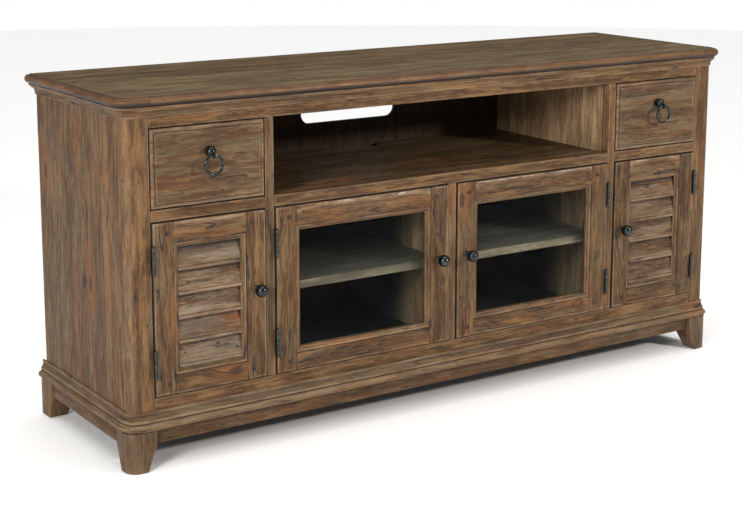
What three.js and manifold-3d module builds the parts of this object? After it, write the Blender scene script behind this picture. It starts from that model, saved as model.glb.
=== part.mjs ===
// Media console: two drawers beside an open media bay, two louvred doors and two glazed doors below.
// Millimetres, +Z up, front towards -Y, left and right as seen from the front.
// Heights are taken from the floor and depths from the front plane of the face frame. The whole group
// is shifted at the end, so that its origin is on the floor under the middle of its outline.
import * as THREE from "three";
import { mergeVertices } from "three/addons/utils/BufferGeometryUtils.js";
import Module from "manifold-3d";

const wasm = await Module();
wasm.setup();

// Driving dimensions
const HEIGHT = 787;
const TOP_HALF_WIDTH = 838;
const TOP_OVERHANG = 23;
const TOP_THICKNESS = 26;
const REAR_EDGE = 460;
const BODY_HALF_WIDTH = 816;
const BODY_REAR = 450;
const CORNER_RADIUS = 18;
const SLACK = 0.3;

const FOOT_HEIGHT = 87;
const BASE_TOP = 128;
const LOWER_OPENING = { bottom: 154, top: 526 };
const UPPER_OPENING = { bottom: 551, top: 720 };
const STILE_HALF = 11;
const GLASS_BAY_EDGE = 470.5;
const SIDE_BAY = { inner: 492.5, outer: 760.5 };

const FRAME_DEPTH = 22;
const STILE_DEPTH = 20;
const PANEL_THICKNESS = 18;
const PARTITION_THICKNESS = 20;
const BACK_FRONT = 440;
const BACK_THICKNESS = 8;

const DOOR_GAP = 1.8;
const DOOR_PROUD = 4;
const DOOR_THICKNESS = 20;
const DRAWER_PROUD = 4;

// Worked out from them
const TOP_UNDERSIDE = HEIGHT - TOP_THICKNESS;
const BODY_BOTTOM = FOOT_HEIGHT + SLACK;
const BODY_TOP = TOP_UNDERSIDE - SLACK;
const SIDE_INNER = BODY_HALF_WIDTH - PANEL_THICKNESS;
const POST_REAR = CORNER_RADIUS + SLACK;
const PARTITION_OUTER = GLASS_BAY_EDGE + PARTITION_THICKNESS;
const PANELS_REAR = BACK_FRONT - SLACK;

// Materials
function finish(colour, roughness, metalness) {
  return new THREE.MeshStandardMaterial({ color: colour, roughness, metalness });
}
const FRONT_WOOD = finish(0x7d6247, 0.7, 0);
const TOP_WOOD = finish(0x77624a, 0.65, 0);
const INNER_WOOD = finish(0x5c5145, 0.8, 0);
const GLASS = finish(0xaebab5, 0.05, 0);
const IRON = finish(0x23262a, 0.4, 0.9);

// Solids
function box(x, y, z) {
  const geometry = new THREE.BoxGeometry(x[1] - x[0], y[1] - y[0], z[1] - z[0]);
  return geometry.translate((x[0] + x[1]) / 2, (y[0] + y[1]) / 2, (z[0] + z[1]) / 2);
}

function solidOf(geometry) {
  const bare = geometry.clone();
  bare.deleteAttribute("normal");
  bare.deleteAttribute("uv");
  const merged = mergeVertices(bare, 1e-3);
  const vertProperties = merged.attributes.position.array;
  const triVerts = new Uint32Array(merged.index.array);
  return new wasm.Manifold(new wasm.Mesh({ numProp: 3, vertProperties, triVerts }));
}

function geometryOf(solid) {
  const { vertProperties, triVerts } = solid.getMesh();
  const geometry = new THREE.BufferGeometry();
  geometry.setAttribute("position", new THREE.BufferAttribute(vertProperties, 3));
  geometry.setIndex(new THREE.BufferAttribute(triVerts, 1));
  return geometry;
}

function cut(geometry, ...tools) {
  const left = tools.reduce((solid, tool) => solid.subtract(solidOf(tool)), solidOf(geometry));
  return geometryOf(left);
}

function join(...pieces) {
  return geometryOf(pieces.map(solidOf).reduce((a, b) => a.add(b)));
}

// Points [x, y] drawn on the floor plan, raised from one height to another
function raise(points, z) {
  const shape = new THREE.Shape(points.map(([x, y]) => new THREE.Vector2(x, y)));
  const geometry = new THREE.ExtrudeGeometry(shape, { depth: z[1] - z[0], bevelEnabled: false });
  return geometry.translate(0, 0, z[0]);
}

// Points [y, z] of an end view, carried along X
function carryAlongX(points, x) {
  const shape = new THREE.Shape(points.map(([y, z]) => new THREE.Vector2(y, z)));
  const geometry = new THREE.ExtrudeGeometry(shape, { depth: x[1] - x[0], bevelEnabled: false });
  const turn = new THREE.Matrix4().makeBasis(
    new THREE.Vector3(0, 1, 0),
    new THREE.Vector3(0, 0, 1),
    new THREE.Vector3(1, 0, 0),
  );
  return geometry.applyMatrix4(turn).translate(x[0], 0, 0);
}

function arc(centre, radius, from, to, steps) {
  const points = [];
  for (let i = 0; i <= steps; i++) {
    const angle = THREE.MathUtils.degToRad(from + ((to - from) * i) / steps);
    points.push([centre[0] + radius * Math.cos(angle), centre[1] + radius * Math.sin(angle)]);
  }
  return points;
}

// Rings of points [x, y, z], all of the same count, skinned from the first to the last
function skin(rings, capTriangles) {
  const count = rings[0].length;
  const positions = new Float32Array(rings.flat(2));
  const index = [];
  for (let r = 0; r + 1 < rings.length; r++) {
    for (let i = 0; i < count; i++) {
      const a = r * count + i;
      const b = r * count + ((i + 1) % count);
      index.push(a, b, b + count, a, b + count, a + count);
    }
  }
  const last = (rings.length - 1) * count;
  for (const [a, b, c] of capTriangles) {
    index.push(a, c, b, last + a, last + b, last + c);
  }
  const geometry = new THREE.BufferGeometry();
  geometry.setAttribute("position", new THREE.BufferAttribute(positions, 3));
  geometry.setIndex(index);
  return geometry;
}

function fan(count) {
  return Array.from({ length: count - 2 }, (_, i) => [0, i + 1, i + 2]);
}

// A convex outline that changes from level to level: levels are { points: [x, y] list, z }
function loft(levels) {
  const rings = levels.map(({ points, z }) => points.map(([x, y]) => [x, y, z]));
  return skin(rings, fan(rings[0].length));
}

// Counter-clockwise outline of a board with round front corners and square rear ones
function roundFrontOutline(halfWidth, front, rear, radius, steps) {
  const inset = [halfWidth - radius, front + radius];
  return [
    [-halfWidth, rear],
    ...arc([-inset[0], inset[1]], radius, 180, 270, steps),
    ...arc(inset, radius, 270, 360, steps),
    [halfWidth, rear],
  ];
}

// A moulding that runs round both sides and the front of the body.
// Its profile is a counter-clockwise list of [out from the body, height].
function wrapBody(profile, rear) {
  const CORNER_STEPS = 8;
  const centre = BODY_HALF_WIDTH - CORNER_RADIUS;
  const stations = [[-BODY_HALF_WIDTH, rear, -1, 0]];
  for (const side of [-1, 1]) {
    for (let i = 0; i <= CORNER_STEPS; i++) {
      const sweep = (i / CORNER_STEPS) * (Math.PI / 2);
      const angle = side < 0 ? Math.PI + sweep : 1.5 * Math.PI + sweep;
      const [nx, ny] = [Math.cos(angle), Math.sin(angle)];
      stations.push([side * centre + CORNER_RADIUS * nx, CORNER_RADIUS * (1 + ny), nx, ny]);
    }
  }
  stations.push([BODY_HALF_WIDTH, rear, 1, 0]);
  const fromRight = stations.reverse();
  const rings = fromRight.map(([x, y, nx, ny]) =>
    profile.map(([out, z]) => [x + nx * out, y + ny * out, z]),
  );
  const outline = profile.map(([out, z]) => new THREE.Vector2(out, z));
  return skin(rings, THREE.ShapeUtils.triangulateShape(outline, []));
}

// Assembly: pieces of the right side are drawn once and mirrored for the left side
const root = new THREE.Group();
const sides = { left: new THREE.Group(), right: new THREE.Group() };
sides.left.scale.x = -1;
root.add(sides.left, sides.right);

function add(name, geometry, material, group = root) {
  const mesh = new THREE.Mesh(geometry, material);
  mesh.name = name;
  group.add(mesh);
  return mesh;
}

function addPair(name, geometry, material) {
  for (const [side, group] of Object.entries(sides)) {
    add(`${name}_${side}`, geometry, material, group);
  }
}

// Top: a board with a small step round its field, a round nose, and a thin fillet under the nose
function topBoard() {
  const CORNER = 42;
  const CORNER_STEPS = 10;
  const profile = [
    [9, TOP_UNDERSIDE],
    [9, TOP_UNDERSIDE + 4.3],
    [10.5, TOP_UNDERSIDE + 4.6],
    [10.5, TOP_UNDERSIDE + 5.4],
    [4.2, TOP_UNDERSIDE + 5.6],
    [1.2, TOP_UNDERSIDE + 7.8],
    [0, TOP_UNDERSIDE + 11.5],
    [0.6, TOP_UNDERSIDE + 15.5],
    [2.6, TOP_UNDERSIDE + 19.4],
    [6, TOP_UNDERSIDE + 22.8],
    [11, TOP_UNDERSIDE + 24.6],
    [12.5, TOP_UNDERSIDE + 24.7],
    [12.7, HEIGHT],
  ];
  const levels = profile.map(([inset, z]) => {
    const front = inset - TOP_OVERHANG;
    const half = TOP_HALF_WIDTH - inset;
    return { points: roundFrontOutline(half, front, REAR_EDGE, CORNER - inset, CORNER_STEPS), z };
  });
  return loft(levels);
}

// Bed moulding: a cove between the body and the top
function bedMoulding() {
  const FILLET_BOTTOM = 742;
  const COVE_CENTRE = [11.5, FILLET_BOTTOM + 3.5];
  const COVE_RISE = BODY_TOP - 3 - COVE_CENTRE[1];
  const COVE_STEPS = 5;
  const cove = arc([0, 0], 1, 180, 90, COVE_STEPS).map(([x, y]) => [
    COVE_CENTRE[0] + 8.5 * x,
    COVE_CENTRE[1] + COVE_RISE * y,
  ]);
  const profile = [
    [SLACK, BODY_TOP],
    [SLACK, FILLET_BOTTOM],
    [3, FILLET_BOTTOM],
    ...cove,
    [COVE_CENTRE[0], BODY_TOP],
  ];
  return wrapBody(profile, BODY_REAR);
}

// Base moulding: a bead, a cove, a thin ridge and a half-round nose
function baseMoulding() {
  const NOSE_OUT = 16;
  const NOSE_RADIUS = 7.6;
  const RIDGE = [9, 107.6];
  const RIDGE_HEIGHT = 3;
  const BEAD_RADIUS = 3.2;
  const nose = arc([NOSE_OUT - NOSE_RADIUS, BODY_BOTTOM + NOSE_RADIUS], NOSE_RADIUS, -90, 80, 7);
  const ramp = [
    [RIDGE[0] - 1.2, RIDGE[1] - 3.6],
    [RIDGE[0], RIDGE[1] - 2],
    RIDGE,
    [RIDGE[0] - 0.4, RIDGE[1] + RIDGE_HEIGHT],
    [6, 112.6],
    [4.2, 116],
    [3.6, 120],
  ];
  const bead = arc([1.6, BASE_TOP - BEAD_RADIUS], BEAD_RADIUS, -40, 90, 4);
  const profile = [[SLACK, BASE_TOP], [SLACK, BODY_BOTTOM], ...nose, ...ramp, ...bead];
  return wrapBody(profile, REAR_EDGE);
}

// Side of three boards with V grooves between them
function sidePanel() {
  const GROOVES = [114.5, 302.5];
  const GROOVE_HALF = 1.6;
  const GROOVE_DEPTH = 1.8;
  const outer = BODY_HALF_WIDTH;
  const grooved = GROOVES.flatMap((y) => [
    [outer, y - GROOVE_HALF],
    [outer - GROOVE_DEPTH, y],
    [outer, y + GROOVE_HALF],
  ]);
  const points = [
    [SIDE_INNER, POST_REAR],
    [outer - GROOVE_DEPTH, POST_REAR],
    [outer, POST_REAR + GROOVE_HALF],
    ...grooved,
    [outer, BODY_REAR],
    [SIDE_INNER, BODY_REAR],
  ];
  return raise(points, [BODY_BOTTOM, BODY_TOP]);
}

// Corner post with a round outer edge, its flat doing duty as the outer stile of the face frame
function cornerPost() {
  const centre = [BODY_HALF_WIDTH - CORNER_RADIUS, CORNER_RADIUS];
  const CORNER_STEPS = 8;
  const points = [
    [SIDE_BAY.outer, 0],
    ...arc(centre, CORNER_RADIUS, 270, 360, CORNER_STEPS),
    [SIDE_INNER - SLACK, CORNER_RADIUS],
    [SIDE_INNER - SLACK, FRAME_DEPTH],
    [SIDE_BAY.outer, FRAME_DEPTH],
  ];
  return raise(points, [BODY_BOTTOM, BODY_TOP]);
}

// Face frame between the posts
function faceFrame() {
  const railHalf = SIDE_BAY.outer - SLACK;
  const railDepth = [0, FRAME_DEPTH];
  const stileDepth = [0, STILE_DEPTH];
  const fullHeight = [LOWER_OPENING.bottom + SLACK, UPPER_OPENING.top - SLACK];
  const doorHeight = [LOWER_OPENING.bottom + SLACK, LOWER_OPENING.top - SLACK];
  const bayHalf = GLASS_BAY_EDGE - SLACK;
  const top = box([-railHalf, railHalf], railDepth, [UPPER_OPENING.top, BODY_TOP]);
  const bottom = box([-railHalf, railHalf], railDepth, [BODY_BOTTOM, LOWER_OPENING.bottom]);
  add("top_rail", top, FRONT_WOOD);
  add("bottom_rail", bottom, FRONT_WOOD);
  add("centre_stile", box([-STILE_HALF, STILE_HALF], stileDepth, doorHeight), FRONT_WOOD);
  const mediaRail = box([-bayHalf, bayHalf], railDepth, [LOWER_OPENING.top, UPPER_OPENING.bottom]);
  add("media_rail", mediaRail, FRONT_WOOD);
  addPair("inner_stile", box([GLASS_BAY_EDGE, SIDE_BAY.inner], stileDepth, fullHeight), FRONT_WOOD);
}

// Floor of the media bay, with a cable notch in its rear edge
function mediaDeck() {
  const NOTCH = { frontHalf: 60, rearHalf: 86, depth: 40 };
  const half = GLASS_BAY_EDGE - SLACK;
  const front = FRAME_DEPTH + SLACK;
  const notchFront = PANELS_REAR - NOTCH.depth;
  const points = [
    [-half, front],
    [half, front],
    [half, PANELS_REAR],
    [NOTCH.rearHalf, PANELS_REAR],
    [NOTCH.frontHalf, notchFront],
    [-NOTCH.frontHalf, notchFront],
    [-NOTCH.rearHalf, PANELS_REAR],
    [-half, PANELS_REAR],
  ];
  return raise(points, [UPPER_OPENING.bottom - 1 - PANEL_THICKNESS, UPPER_OPENING.bottom - 1]);
}

// Deck under a drawer: its front edge is the rail of the face frame, and two strips guide the drawer
const DRAWER_BOX = { x: [500, 753], y: [DOOR_THICKNESS - DRAWER_PROUD + SLACK, 412], z: [553, 690] };
const DECK_TOP = UPPER_OPENING.bottom - 0.5;

function drawerDeck() {
  const GUIDE_HEIGHT = 24;
  const GUIDE_CLEARANCE = 1.5;
  const bay = [PARTITION_OUTER + SLACK, SIDE_INNER - SLACK];
  const behindFrame = [FRAME_DEPTH + SLACK, PANELS_REAR];
  const guideZ = [DECK_TOP - 1, DECK_TOP + GUIDE_HEIGHT];
  const panel = box(bay, behindFrame, [DECK_TOP - PANEL_THICKNESS, DECK_TOP]);
  const rail = box(
    [SIDE_BAY.inner + SLACK, SIDE_BAY.outer - SLACK],
    [0, FRAME_DEPTH + 2],
    [LOWER_OPENING.top, UPPER_OPENING.bottom],
  );
  const innerGuide = box([bay[0], DRAWER_BOX.x[0] - GUIDE_CLEARANCE], behindFrame, guideZ);
  const outerGuide = box([DRAWER_BOX.x[1] + GUIDE_CLEARANCE, bay[1]], behindFrame, guideZ);
  return join(panel, rail, innerGuide, outerGuide);
}

// Inside boards
const FLOOR_TOP = 153;

function insideBoards() {
  const floorZ = [FLOOR_TOP - PANEL_THICKNESS, FLOOR_TOP];
  const behindFrame = [FRAME_DEPTH + SLACK, PANELS_REAR];
  const inner = SIDE_INNER - SLACK;
  add("bottom_panel", box([-inner, inner], behindFrame, floorZ), INNER_WOOD);

  const partition = box(
    [GLASS_BAY_EDGE, PARTITION_OUTER],
    behindFrame,
    [FLOOR_TOP + SLACK, BODY_TOP],
  );
  addPair("partition", partition, INNER_WOOD);

  const middleHalf = PARTITION_THICKNESS / 2;
  const underDeck = UPPER_OPENING.bottom - 1 - PANEL_THICKNESS - SLACK;
  const middle = box([-middleHalf, middleHalf], behindFrame, [FLOOR_TOP + SLACK, underDeck]);
  add("centre_partition", middle, INNER_WOOD);

  const SHELF_FRONT = 30;
  const SHELF_REAR = 434;
  const SHELF_TOP = 346;
  const SHELF_PLAY = 0.8;
  const shelfZ = [SHELF_TOP - PANEL_THICKNESS, SHELF_TOP];
  const shelfY = [SHELF_FRONT, SHELF_REAR];
  const centreX = [middleHalf + SHELF_PLAY, GLASS_BAY_EDGE - SHELF_PLAY];
  const sideX = [PARTITION_OUTER + SHELF_PLAY, SIDE_INNER - SHELF_PLAY];
  addPair("centre_shelf", box(centreX, shelfY, shelfZ), INNER_WOOD);
  addPair("side_shelf", box(sideX, shelfY, shelfZ), INNER_WOOD);
}

// Back panel with a long cable slot behind the media bay
function backPanel() {
  const SLOT = { halfLength: 138, radius: 24, z: 639 };
  const BACK_BOTTOM = 96;
  const inner = SIDE_INNER - SLACK;
  const depth = [BACK_FRONT, BACK_FRONT + BACK_THICKNESS];
  const reach = SLOT.halfLength - SLOT.radius;
  const outline = [
    ...arc([reach, 0], SLOT.radius, -90, 90, 8),
    ...arc([-reach, 0], SLOT.radius, 90, 270, 8),
  ];
  const punch = raise(outline, [-BACK_THICKNESS, BACK_THICKNESS]);
  punch.rotateX(Math.PI / 2).translate(0, BACK_FRONT + BACK_THICKNESS / 2, SLOT.z);
  return cut(box([-inner, inner], depth, [BACK_BOTTOM, BODY_TOP]), punch);
}

// Feet: straight under the body, then tapering to the floor on their two inner faces
const FOOT_OUTER = 826;
const FOOT_FRONT = -12;
const FOOT_WIDTH = 64;
const APRON_BOTTOM = 56;

function foot(isFront) {
  const SOLE_WIDTH = 43;
  const EDGE_RADIUS = 27;
  const EDGE_STEPS = 7;
  const levels = [
    [SOLE_WIDTH, 0],
    [FOOT_WIDTH, APRON_BOTTOM],
    [FOOT_WIDTH, FOOT_HEIGHT],
  ];
  const centre = [FOOT_OUTER - EDGE_RADIUS, FOOT_FRONT + EDGE_RADIUS];
  return loft(
    levels.map(([width, z]) => {
      const inner = FOOT_OUTER - width;
      const front = isFront ? FOOT_FRONT : REAR_EDGE - width;
      const rear = isFront ? FOOT_FRONT + width : REAR_EDGE;
      const edge = isFront ? arc(centre, EDGE_RADIUS, 270, 360, EDGE_STEPS) : [[FOOT_OUTER, front]];
      return { points: [[inner, front], ...edge, [FOOT_OUTER, rear], [inner, rear]], z };
    }),
  );
}

function aprons() {
  const APRON_THICKNESS = 20;
  const SIDE_RECESS = 2;
  const height = [APRON_BOTTOM, FOOT_HEIGHT];
  const between = FOOT_OUTER - FOOT_WIDTH - SLACK;
  add("front_apron", box([-between, between], [0, APRON_THICKNESS], height), FRONT_WOOD);
  const alongSide = [FOOT_FRONT + FOOT_WIDTH + SLACK, REAR_EDGE - FOOT_WIDTH - SLACK];
  const sideOuter = FOOT_OUTER - SIDE_RECESS;
  const sideX = [sideOuter - APRON_THICKNESS, sideOuter];
  addPair("side_apron", box(sideX, alongSide, height), FRONT_WOOD);
}

// Drawers
const DRAWER_FACE = {
  x: [SIDE_BAY.inner + DOOR_GAP, SIDE_BAY.outer - DOOR_GAP],
  z: [UPPER_OPENING.bottom + DOOR_GAP, UPPER_OPENING.top - DOOR_GAP],
};
const DRAWER_CENTRE = (DRAWER_FACE.x[0] + DRAWER_FACE.x[1]) / 2;

// A rectangle in the XZ plane, grown by `grow` on each side
function rectangle(x, z, grow) {
  return [
    [x[0] - grow, z[0] - grow],
    [x[1] + grow, z[0] - grow],
    [x[1] + grow, z[1] + grow],
    [x[0] - grow, z[1] + grow],
  ];
}

// A stack of rectangles from back to front: levels are [depth, growth]
function raisedPanel(x, z, levels) {
  const rings = levels.map(([y, grow]) => rectangle(x, z, grow).map(([px, pz]) => [px, y, pz]));
  return skin(rings, fan(rings[0].length));
}

function drawerFront() {
  const BORDER = [
    [4.8, 0],
    [3.3, -1.4],
    [2, -4.6],
    [1.3, -9.8],
    [0, -10.2],
  ];
  const back = [DOOR_THICKNESS - DRAWER_PROUD, 0];
  const levels = [back, ...BORDER.map(([drop, grow]) => [drop - DRAWER_PROUD, grow])];
  return raisedPanel(DRAWER_FACE.x, DRAWER_FACE.z, levels);
}

function drawerBox() {
  const WALL = 12;
  const FLOOR = 8;
  const { x, y, z } = DRAWER_BOX;
  const hollow = box([x[0] + WALL, x[1] - WALL], [y[0] + WALL, y[1] - WALL], [z[0] + FLOOR, z[1] + 1]);
  return cut(box(x, y, z), hollow);
}

// A lathe profile of [radius, out from the face], turned about an axis that points to the front
function turn(profile, segments) {
  const points = profile.map(([r, out]) => new THREE.Vector2(r, out));
  return new THREE.LatheGeometry(points, segments).rotateX(Math.PI);
}

// Ring pull: a ball boss with an eye below its front, and a ring that hangs in the eye
const PULL = { ballOut: 9, ballRadius: 11.5, ballHeight: 662.5, hangOut: 23, hangHeight: 656.5 };

function pullBoss() {
  const EYE_RADIUS = 4.8;
  const EYE_WIRE = 1.5;
  const FLANGE = [
    [0, 0],
    [10, 0],
    [10, 1.2],
  ];
  const ball = arc([0, PULL.ballOut], PULL.ballRadius, -43, 90, 10);
  const boss = turn([...FLANGE, ...ball], 20);
  boss.translate(DRAWER_CENTRE, -DRAWER_PROUD - SLACK, PULL.ballHeight);
  const eye = new THREE.TorusGeometry(EYE_RADIUS, EYE_WIRE, 8, 16).rotateY(Math.PI / 2);
  eye.translate(DRAWER_CENTRE, -DRAWER_PROUD - PULL.hangOut, PULL.hangHeight);
  return join(boss, eye);
}

function pullRing() {
  const RING_RADIUS = 20.3;
  const RING_WIRE = 2.75;
  const ring = new THREE.TorusGeometry(RING_RADIUS, RING_WIRE, 8, 28).rotateX(Math.PI / 2);
  const hangY = -DRAWER_PROUD - PULL.hangOut;
  return ring.translate(DRAWER_CENTRE, hangY, PULL.hangHeight - RING_RADIUS);
}

// Doors
const DOOR_Z = [LOWER_OPENING.bottom + DOOR_GAP, LOWER_OPENING.top - DOOR_GAP];
const DOOR_Y = [-DOOR_PROUD, DOOR_THICKNESS - DOOR_PROUD];
const TOP_RAIL = 56;
const LOUVRE_DOOR = {
  x: [SIDE_BAY.inner + DOOR_GAP, SIDE_BAY.outer - DOOR_GAP],
  hinge: SIDE_BAY.outer - DOOR_GAP / 2,
  knob: SIDE_BAY.inner + DOOR_GAP + 24,
  stile: 58,
  bottomRail: 52,
};
const GLASS_DOOR = {
  x: [STILE_HALF + DOOR_GAP, GLASS_BAY_EDGE - DOOR_GAP],
  hinge: GLASS_BAY_EDGE - DOOR_GAP / 2,
  knob: STILE_HALF + DOOR_GAP + 28,
  stile: 61,
  bottomRail: 50,
};

function windowOf(door) {
  return {
    x: [door.x[0] + door.stile, door.x[1] - door.stile],
    z: [DOOR_Z[0] + door.bottomRail, DOOR_Z[1] - TOP_RAIL],
  };
}

const REBATE = 7;
const REBATE_FRONT = 8;

// Stiles and rails round a window, with a bevelled inner edge in front and a rebate behind
function doorFrame(door) {
  const STICKING = 11;
  const STICKING_DEPTH = 6;
  const opening = windowOf(door);
  const cutter = raisedPanel(opening.x, opening.z, [
    [DOOR_Y[1] + 1, REBATE],
    [REBATE_FRONT, REBATE],
    [REBATE_FRONT, 0],
    [DOOR_Y[0] + STICKING_DEPTH, 0],
    [DOOR_Y[0], STICKING],
    [DOOR_Y[0] - 1, STICKING],
  ]);
  return cut(box(door.x, DOOR_Y, DOOR_Z), cutter);
}

function glassPane() {
  const PANE = 4;
  const opening = windowOf(GLASS_DOOR);
  const reach = REBATE - SLACK;
  const front = REBATE_FRONT + SLACK;
  return box(
    [opening.x[0] - reach, opening.x[1] + reach],
    [front, front + PANE],
    [opening.z[0] - reach, opening.z[1] + reach],
  );
}

// Overlapping slats on a thin backing: each leans out to a quirk and a half-round bead at its foot
function louvrePanel() {
  const SLATS = 5;
  const TOP_DEPTH = 11;
  const FOOT_DEPTH = 2.2;
  const BEAD_DEPTH = 3;
  const BEAD_RADIUS = 4;
  const QUIRK = 1.2;
  const BACKING_REAR = 14.5;
  const opening = windowOf(LOUVRE_DOOR);
  const top = opening.z[1] - SLACK;
  const bottom = opening.z[0] + SLACK;
  const pitch = (top - bottom) / SLATS;
  const face = [];
  for (let i = 0; i < SLATS; i++) {
    const slatTop = top - i * pitch;
    const slatBottom = slatTop - pitch;
    const beadTop = slatBottom + 2 * BEAD_RADIUS;
    const bead = arc([BEAD_DEPTH, slatBottom + BEAD_RADIUS], BEAD_RADIUS, 105, 270, 6);
    face.push([TOP_DEPTH, slatTop], [FOOT_DEPTH, beadTop + QUIRK], [FOOT_DEPTH + QUIRK, beadTop], ...bead);
  }
  const points = [...face, [TOP_DEPTH, bottom], [BACKING_REAR, bottom], [BACKING_REAR, top]];
  return carryAlongX(points, [opening.x[0] + SLACK, opening.x[1] - SLACK]);
}

// Ball knob on a flange and a short neck
const KNOB_HEIGHT = 354;
const BALL_OUT = 22;
const BALL_RADIUS = 14;
const KNOB_REACH = BALL_OUT + BALL_RADIUS;

function knob(door) {
  const stem = [
    [0, 0],
    [8, 0],
    [8, 1.4],
    [6.2, 2.6],
    [4.2, 4.2],
    [4.2, 7],
  ];
  const ball = arc([0, BALL_OUT], BALL_RADIUS, -70, 90, 12);
  const body = turn([...stem, ...ball], 20);
  return body.translate(door.knob, -DOOR_PROUD - SLACK, KNOB_HEIGHT);
}

// Butt hinge: a proud barrel on the gap line and a leaf let into the edge of the door
const HINGE = { out: 8.5, radius: 4, length: 62, tip: 1.6 };
const HINGE_HEIGHTS = { upper: 447, lower: 227 };

function hinge(door, height) {
  const LEAF_HALF = 0.55;
  const LEAF_REAR = 14;
  const LEAF_HALF_HEIGHT = 30;
  const half = HINGE.length / 2;
  const profile = [
    [0, -half - HINGE.tip],
    [HINGE.radius * 0.55, -half - HINGE.tip],
    [HINGE.radius, -half],
    [HINGE.radius, half],
    [HINGE.radius * 0.55, half + HINGE.tip],
    [0, half + HINGE.tip],
  ];
  const points = profile.map(([r, z]) => new THREE.Vector2(r, z));
  const barrel = new THREE.LatheGeometry(points, 14).rotateX(Math.PI / 2);
  barrel.translate(door.hinge, -HINGE.out, height);
  const leaf = box(
    [door.hinge - LEAF_HALF, door.hinge + LEAF_HALF],
    [-HINGE.out, LEAF_REAR],
    [height - LEAF_HALF_HEIGHT, height + LEAF_HALF_HEIGHT],
  );
  return join(barrel, leaf);
}

function doors() {
  const kinds = { louvre_door: LOUVRE_DOOR, glass_door: GLASS_DOOR };
  for (const [kind, door] of Object.entries(kinds)) {
    addPair(`${kind}_frame`, doorFrame(door), FRONT_WOOD);
    addPair(`${kind}_knob`, knob(door), IRON);
    for (const [level, height] of Object.entries(HINGE_HEIGHTS)) {
      addPair(`${kind}_hinge_${level}`, hinge(door, height), IRON);
    }
  }
  addPair("louvre_panel", louvrePanel(), FRONT_WOOD);
  addPair("glass_pane", glassPane(), GLASS);
}

add("top_board", topBoard(), TOP_WOOD);
add("bed_moulding", bedMoulding(), FRONT_WOOD);
add("base_moulding", baseMoulding(), FRONT_WOOD);
addPair("side_panel", sidePanel(), FRONT_WOOD);
addPair("corner_post", cornerPost(), FRONT_WOOD);
faceFrame();
add("media_deck", mediaDeck(), INNER_WOOD);
addPair("drawer_deck", drawerDeck(), FRONT_WOOD);
insideBoards();
add("back_panel", backPanel(), INNER_WOOD);
addPair("front_foot", foot(true), FRONT_WOOD);
addPair("rear_foot", foot(false), FRONT_WOOD);
aprons();
addPair("drawer_front", drawerFront(), FRONT_WOOD);
addPair("drawer_box", drawerBox(), INNER_WOOD);
addPair("pull_boss", pullBoss(), IRON);
addPair("pull_ring", pullRing(), IRON);
doors();

// The outline runs from the front of the door knobs to the rear edge of the top
const KNOB_TIP = -DOOR_PROUD - SLACK - KNOB_REACH;
root.position.y = -(KNOB_TIP + REAR_EDGE) / 2;

export default root;
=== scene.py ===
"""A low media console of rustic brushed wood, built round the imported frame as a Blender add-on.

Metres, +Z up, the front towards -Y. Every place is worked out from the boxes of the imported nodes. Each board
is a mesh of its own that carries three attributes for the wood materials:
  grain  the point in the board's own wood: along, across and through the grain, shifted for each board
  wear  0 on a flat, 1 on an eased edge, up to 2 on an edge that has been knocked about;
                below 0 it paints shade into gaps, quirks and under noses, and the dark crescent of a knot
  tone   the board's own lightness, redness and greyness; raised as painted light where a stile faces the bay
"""

import math
import random
from collections import namedtuple

import bmesh
import bpy
from bpy.props import FloatProperty, FloatVectorProperty, IntProperty, PointerProperty
from bpy.types import Operator, Panel, PropertyGroup
from mathutils import Euler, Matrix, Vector, noise


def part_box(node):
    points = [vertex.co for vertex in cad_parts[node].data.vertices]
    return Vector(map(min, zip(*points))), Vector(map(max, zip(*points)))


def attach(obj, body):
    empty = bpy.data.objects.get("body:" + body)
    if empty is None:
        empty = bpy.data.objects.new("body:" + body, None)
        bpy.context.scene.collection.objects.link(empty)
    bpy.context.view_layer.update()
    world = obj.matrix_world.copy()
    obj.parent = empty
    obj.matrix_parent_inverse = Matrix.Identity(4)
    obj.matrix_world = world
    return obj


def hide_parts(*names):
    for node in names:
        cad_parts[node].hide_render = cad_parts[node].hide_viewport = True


bl_info = {
    "name": "Rustic media console",
    "version": (1, 0, 0),
    "blender": (4, 5, 0),
    "location": "View3D > Sidebar > Console",
    "description": "Builds a media console of brushed wood round its packed frame",
    "category": "Object",
}

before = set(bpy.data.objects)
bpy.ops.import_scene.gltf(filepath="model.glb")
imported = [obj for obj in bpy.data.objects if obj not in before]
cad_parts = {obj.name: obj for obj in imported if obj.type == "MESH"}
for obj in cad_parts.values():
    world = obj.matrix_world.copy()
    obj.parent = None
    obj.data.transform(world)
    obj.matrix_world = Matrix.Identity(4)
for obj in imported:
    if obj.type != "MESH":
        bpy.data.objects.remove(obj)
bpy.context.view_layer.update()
SIDES = ("left", "right")

Box = namedtuple("Box", "x0 x1 y0 y1 z0 z1")


def box_of(node):
    """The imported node's box as six named numbers."""
    low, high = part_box(node)
    return Box(low.x, high.x, low.y, high.y, low.z, high.z)


def mirror_sign(side):
    return -1 if side == "left" else 1


FACE = box_of("top_rail").y0


# ---------------------------------------------------------------- settings


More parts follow.
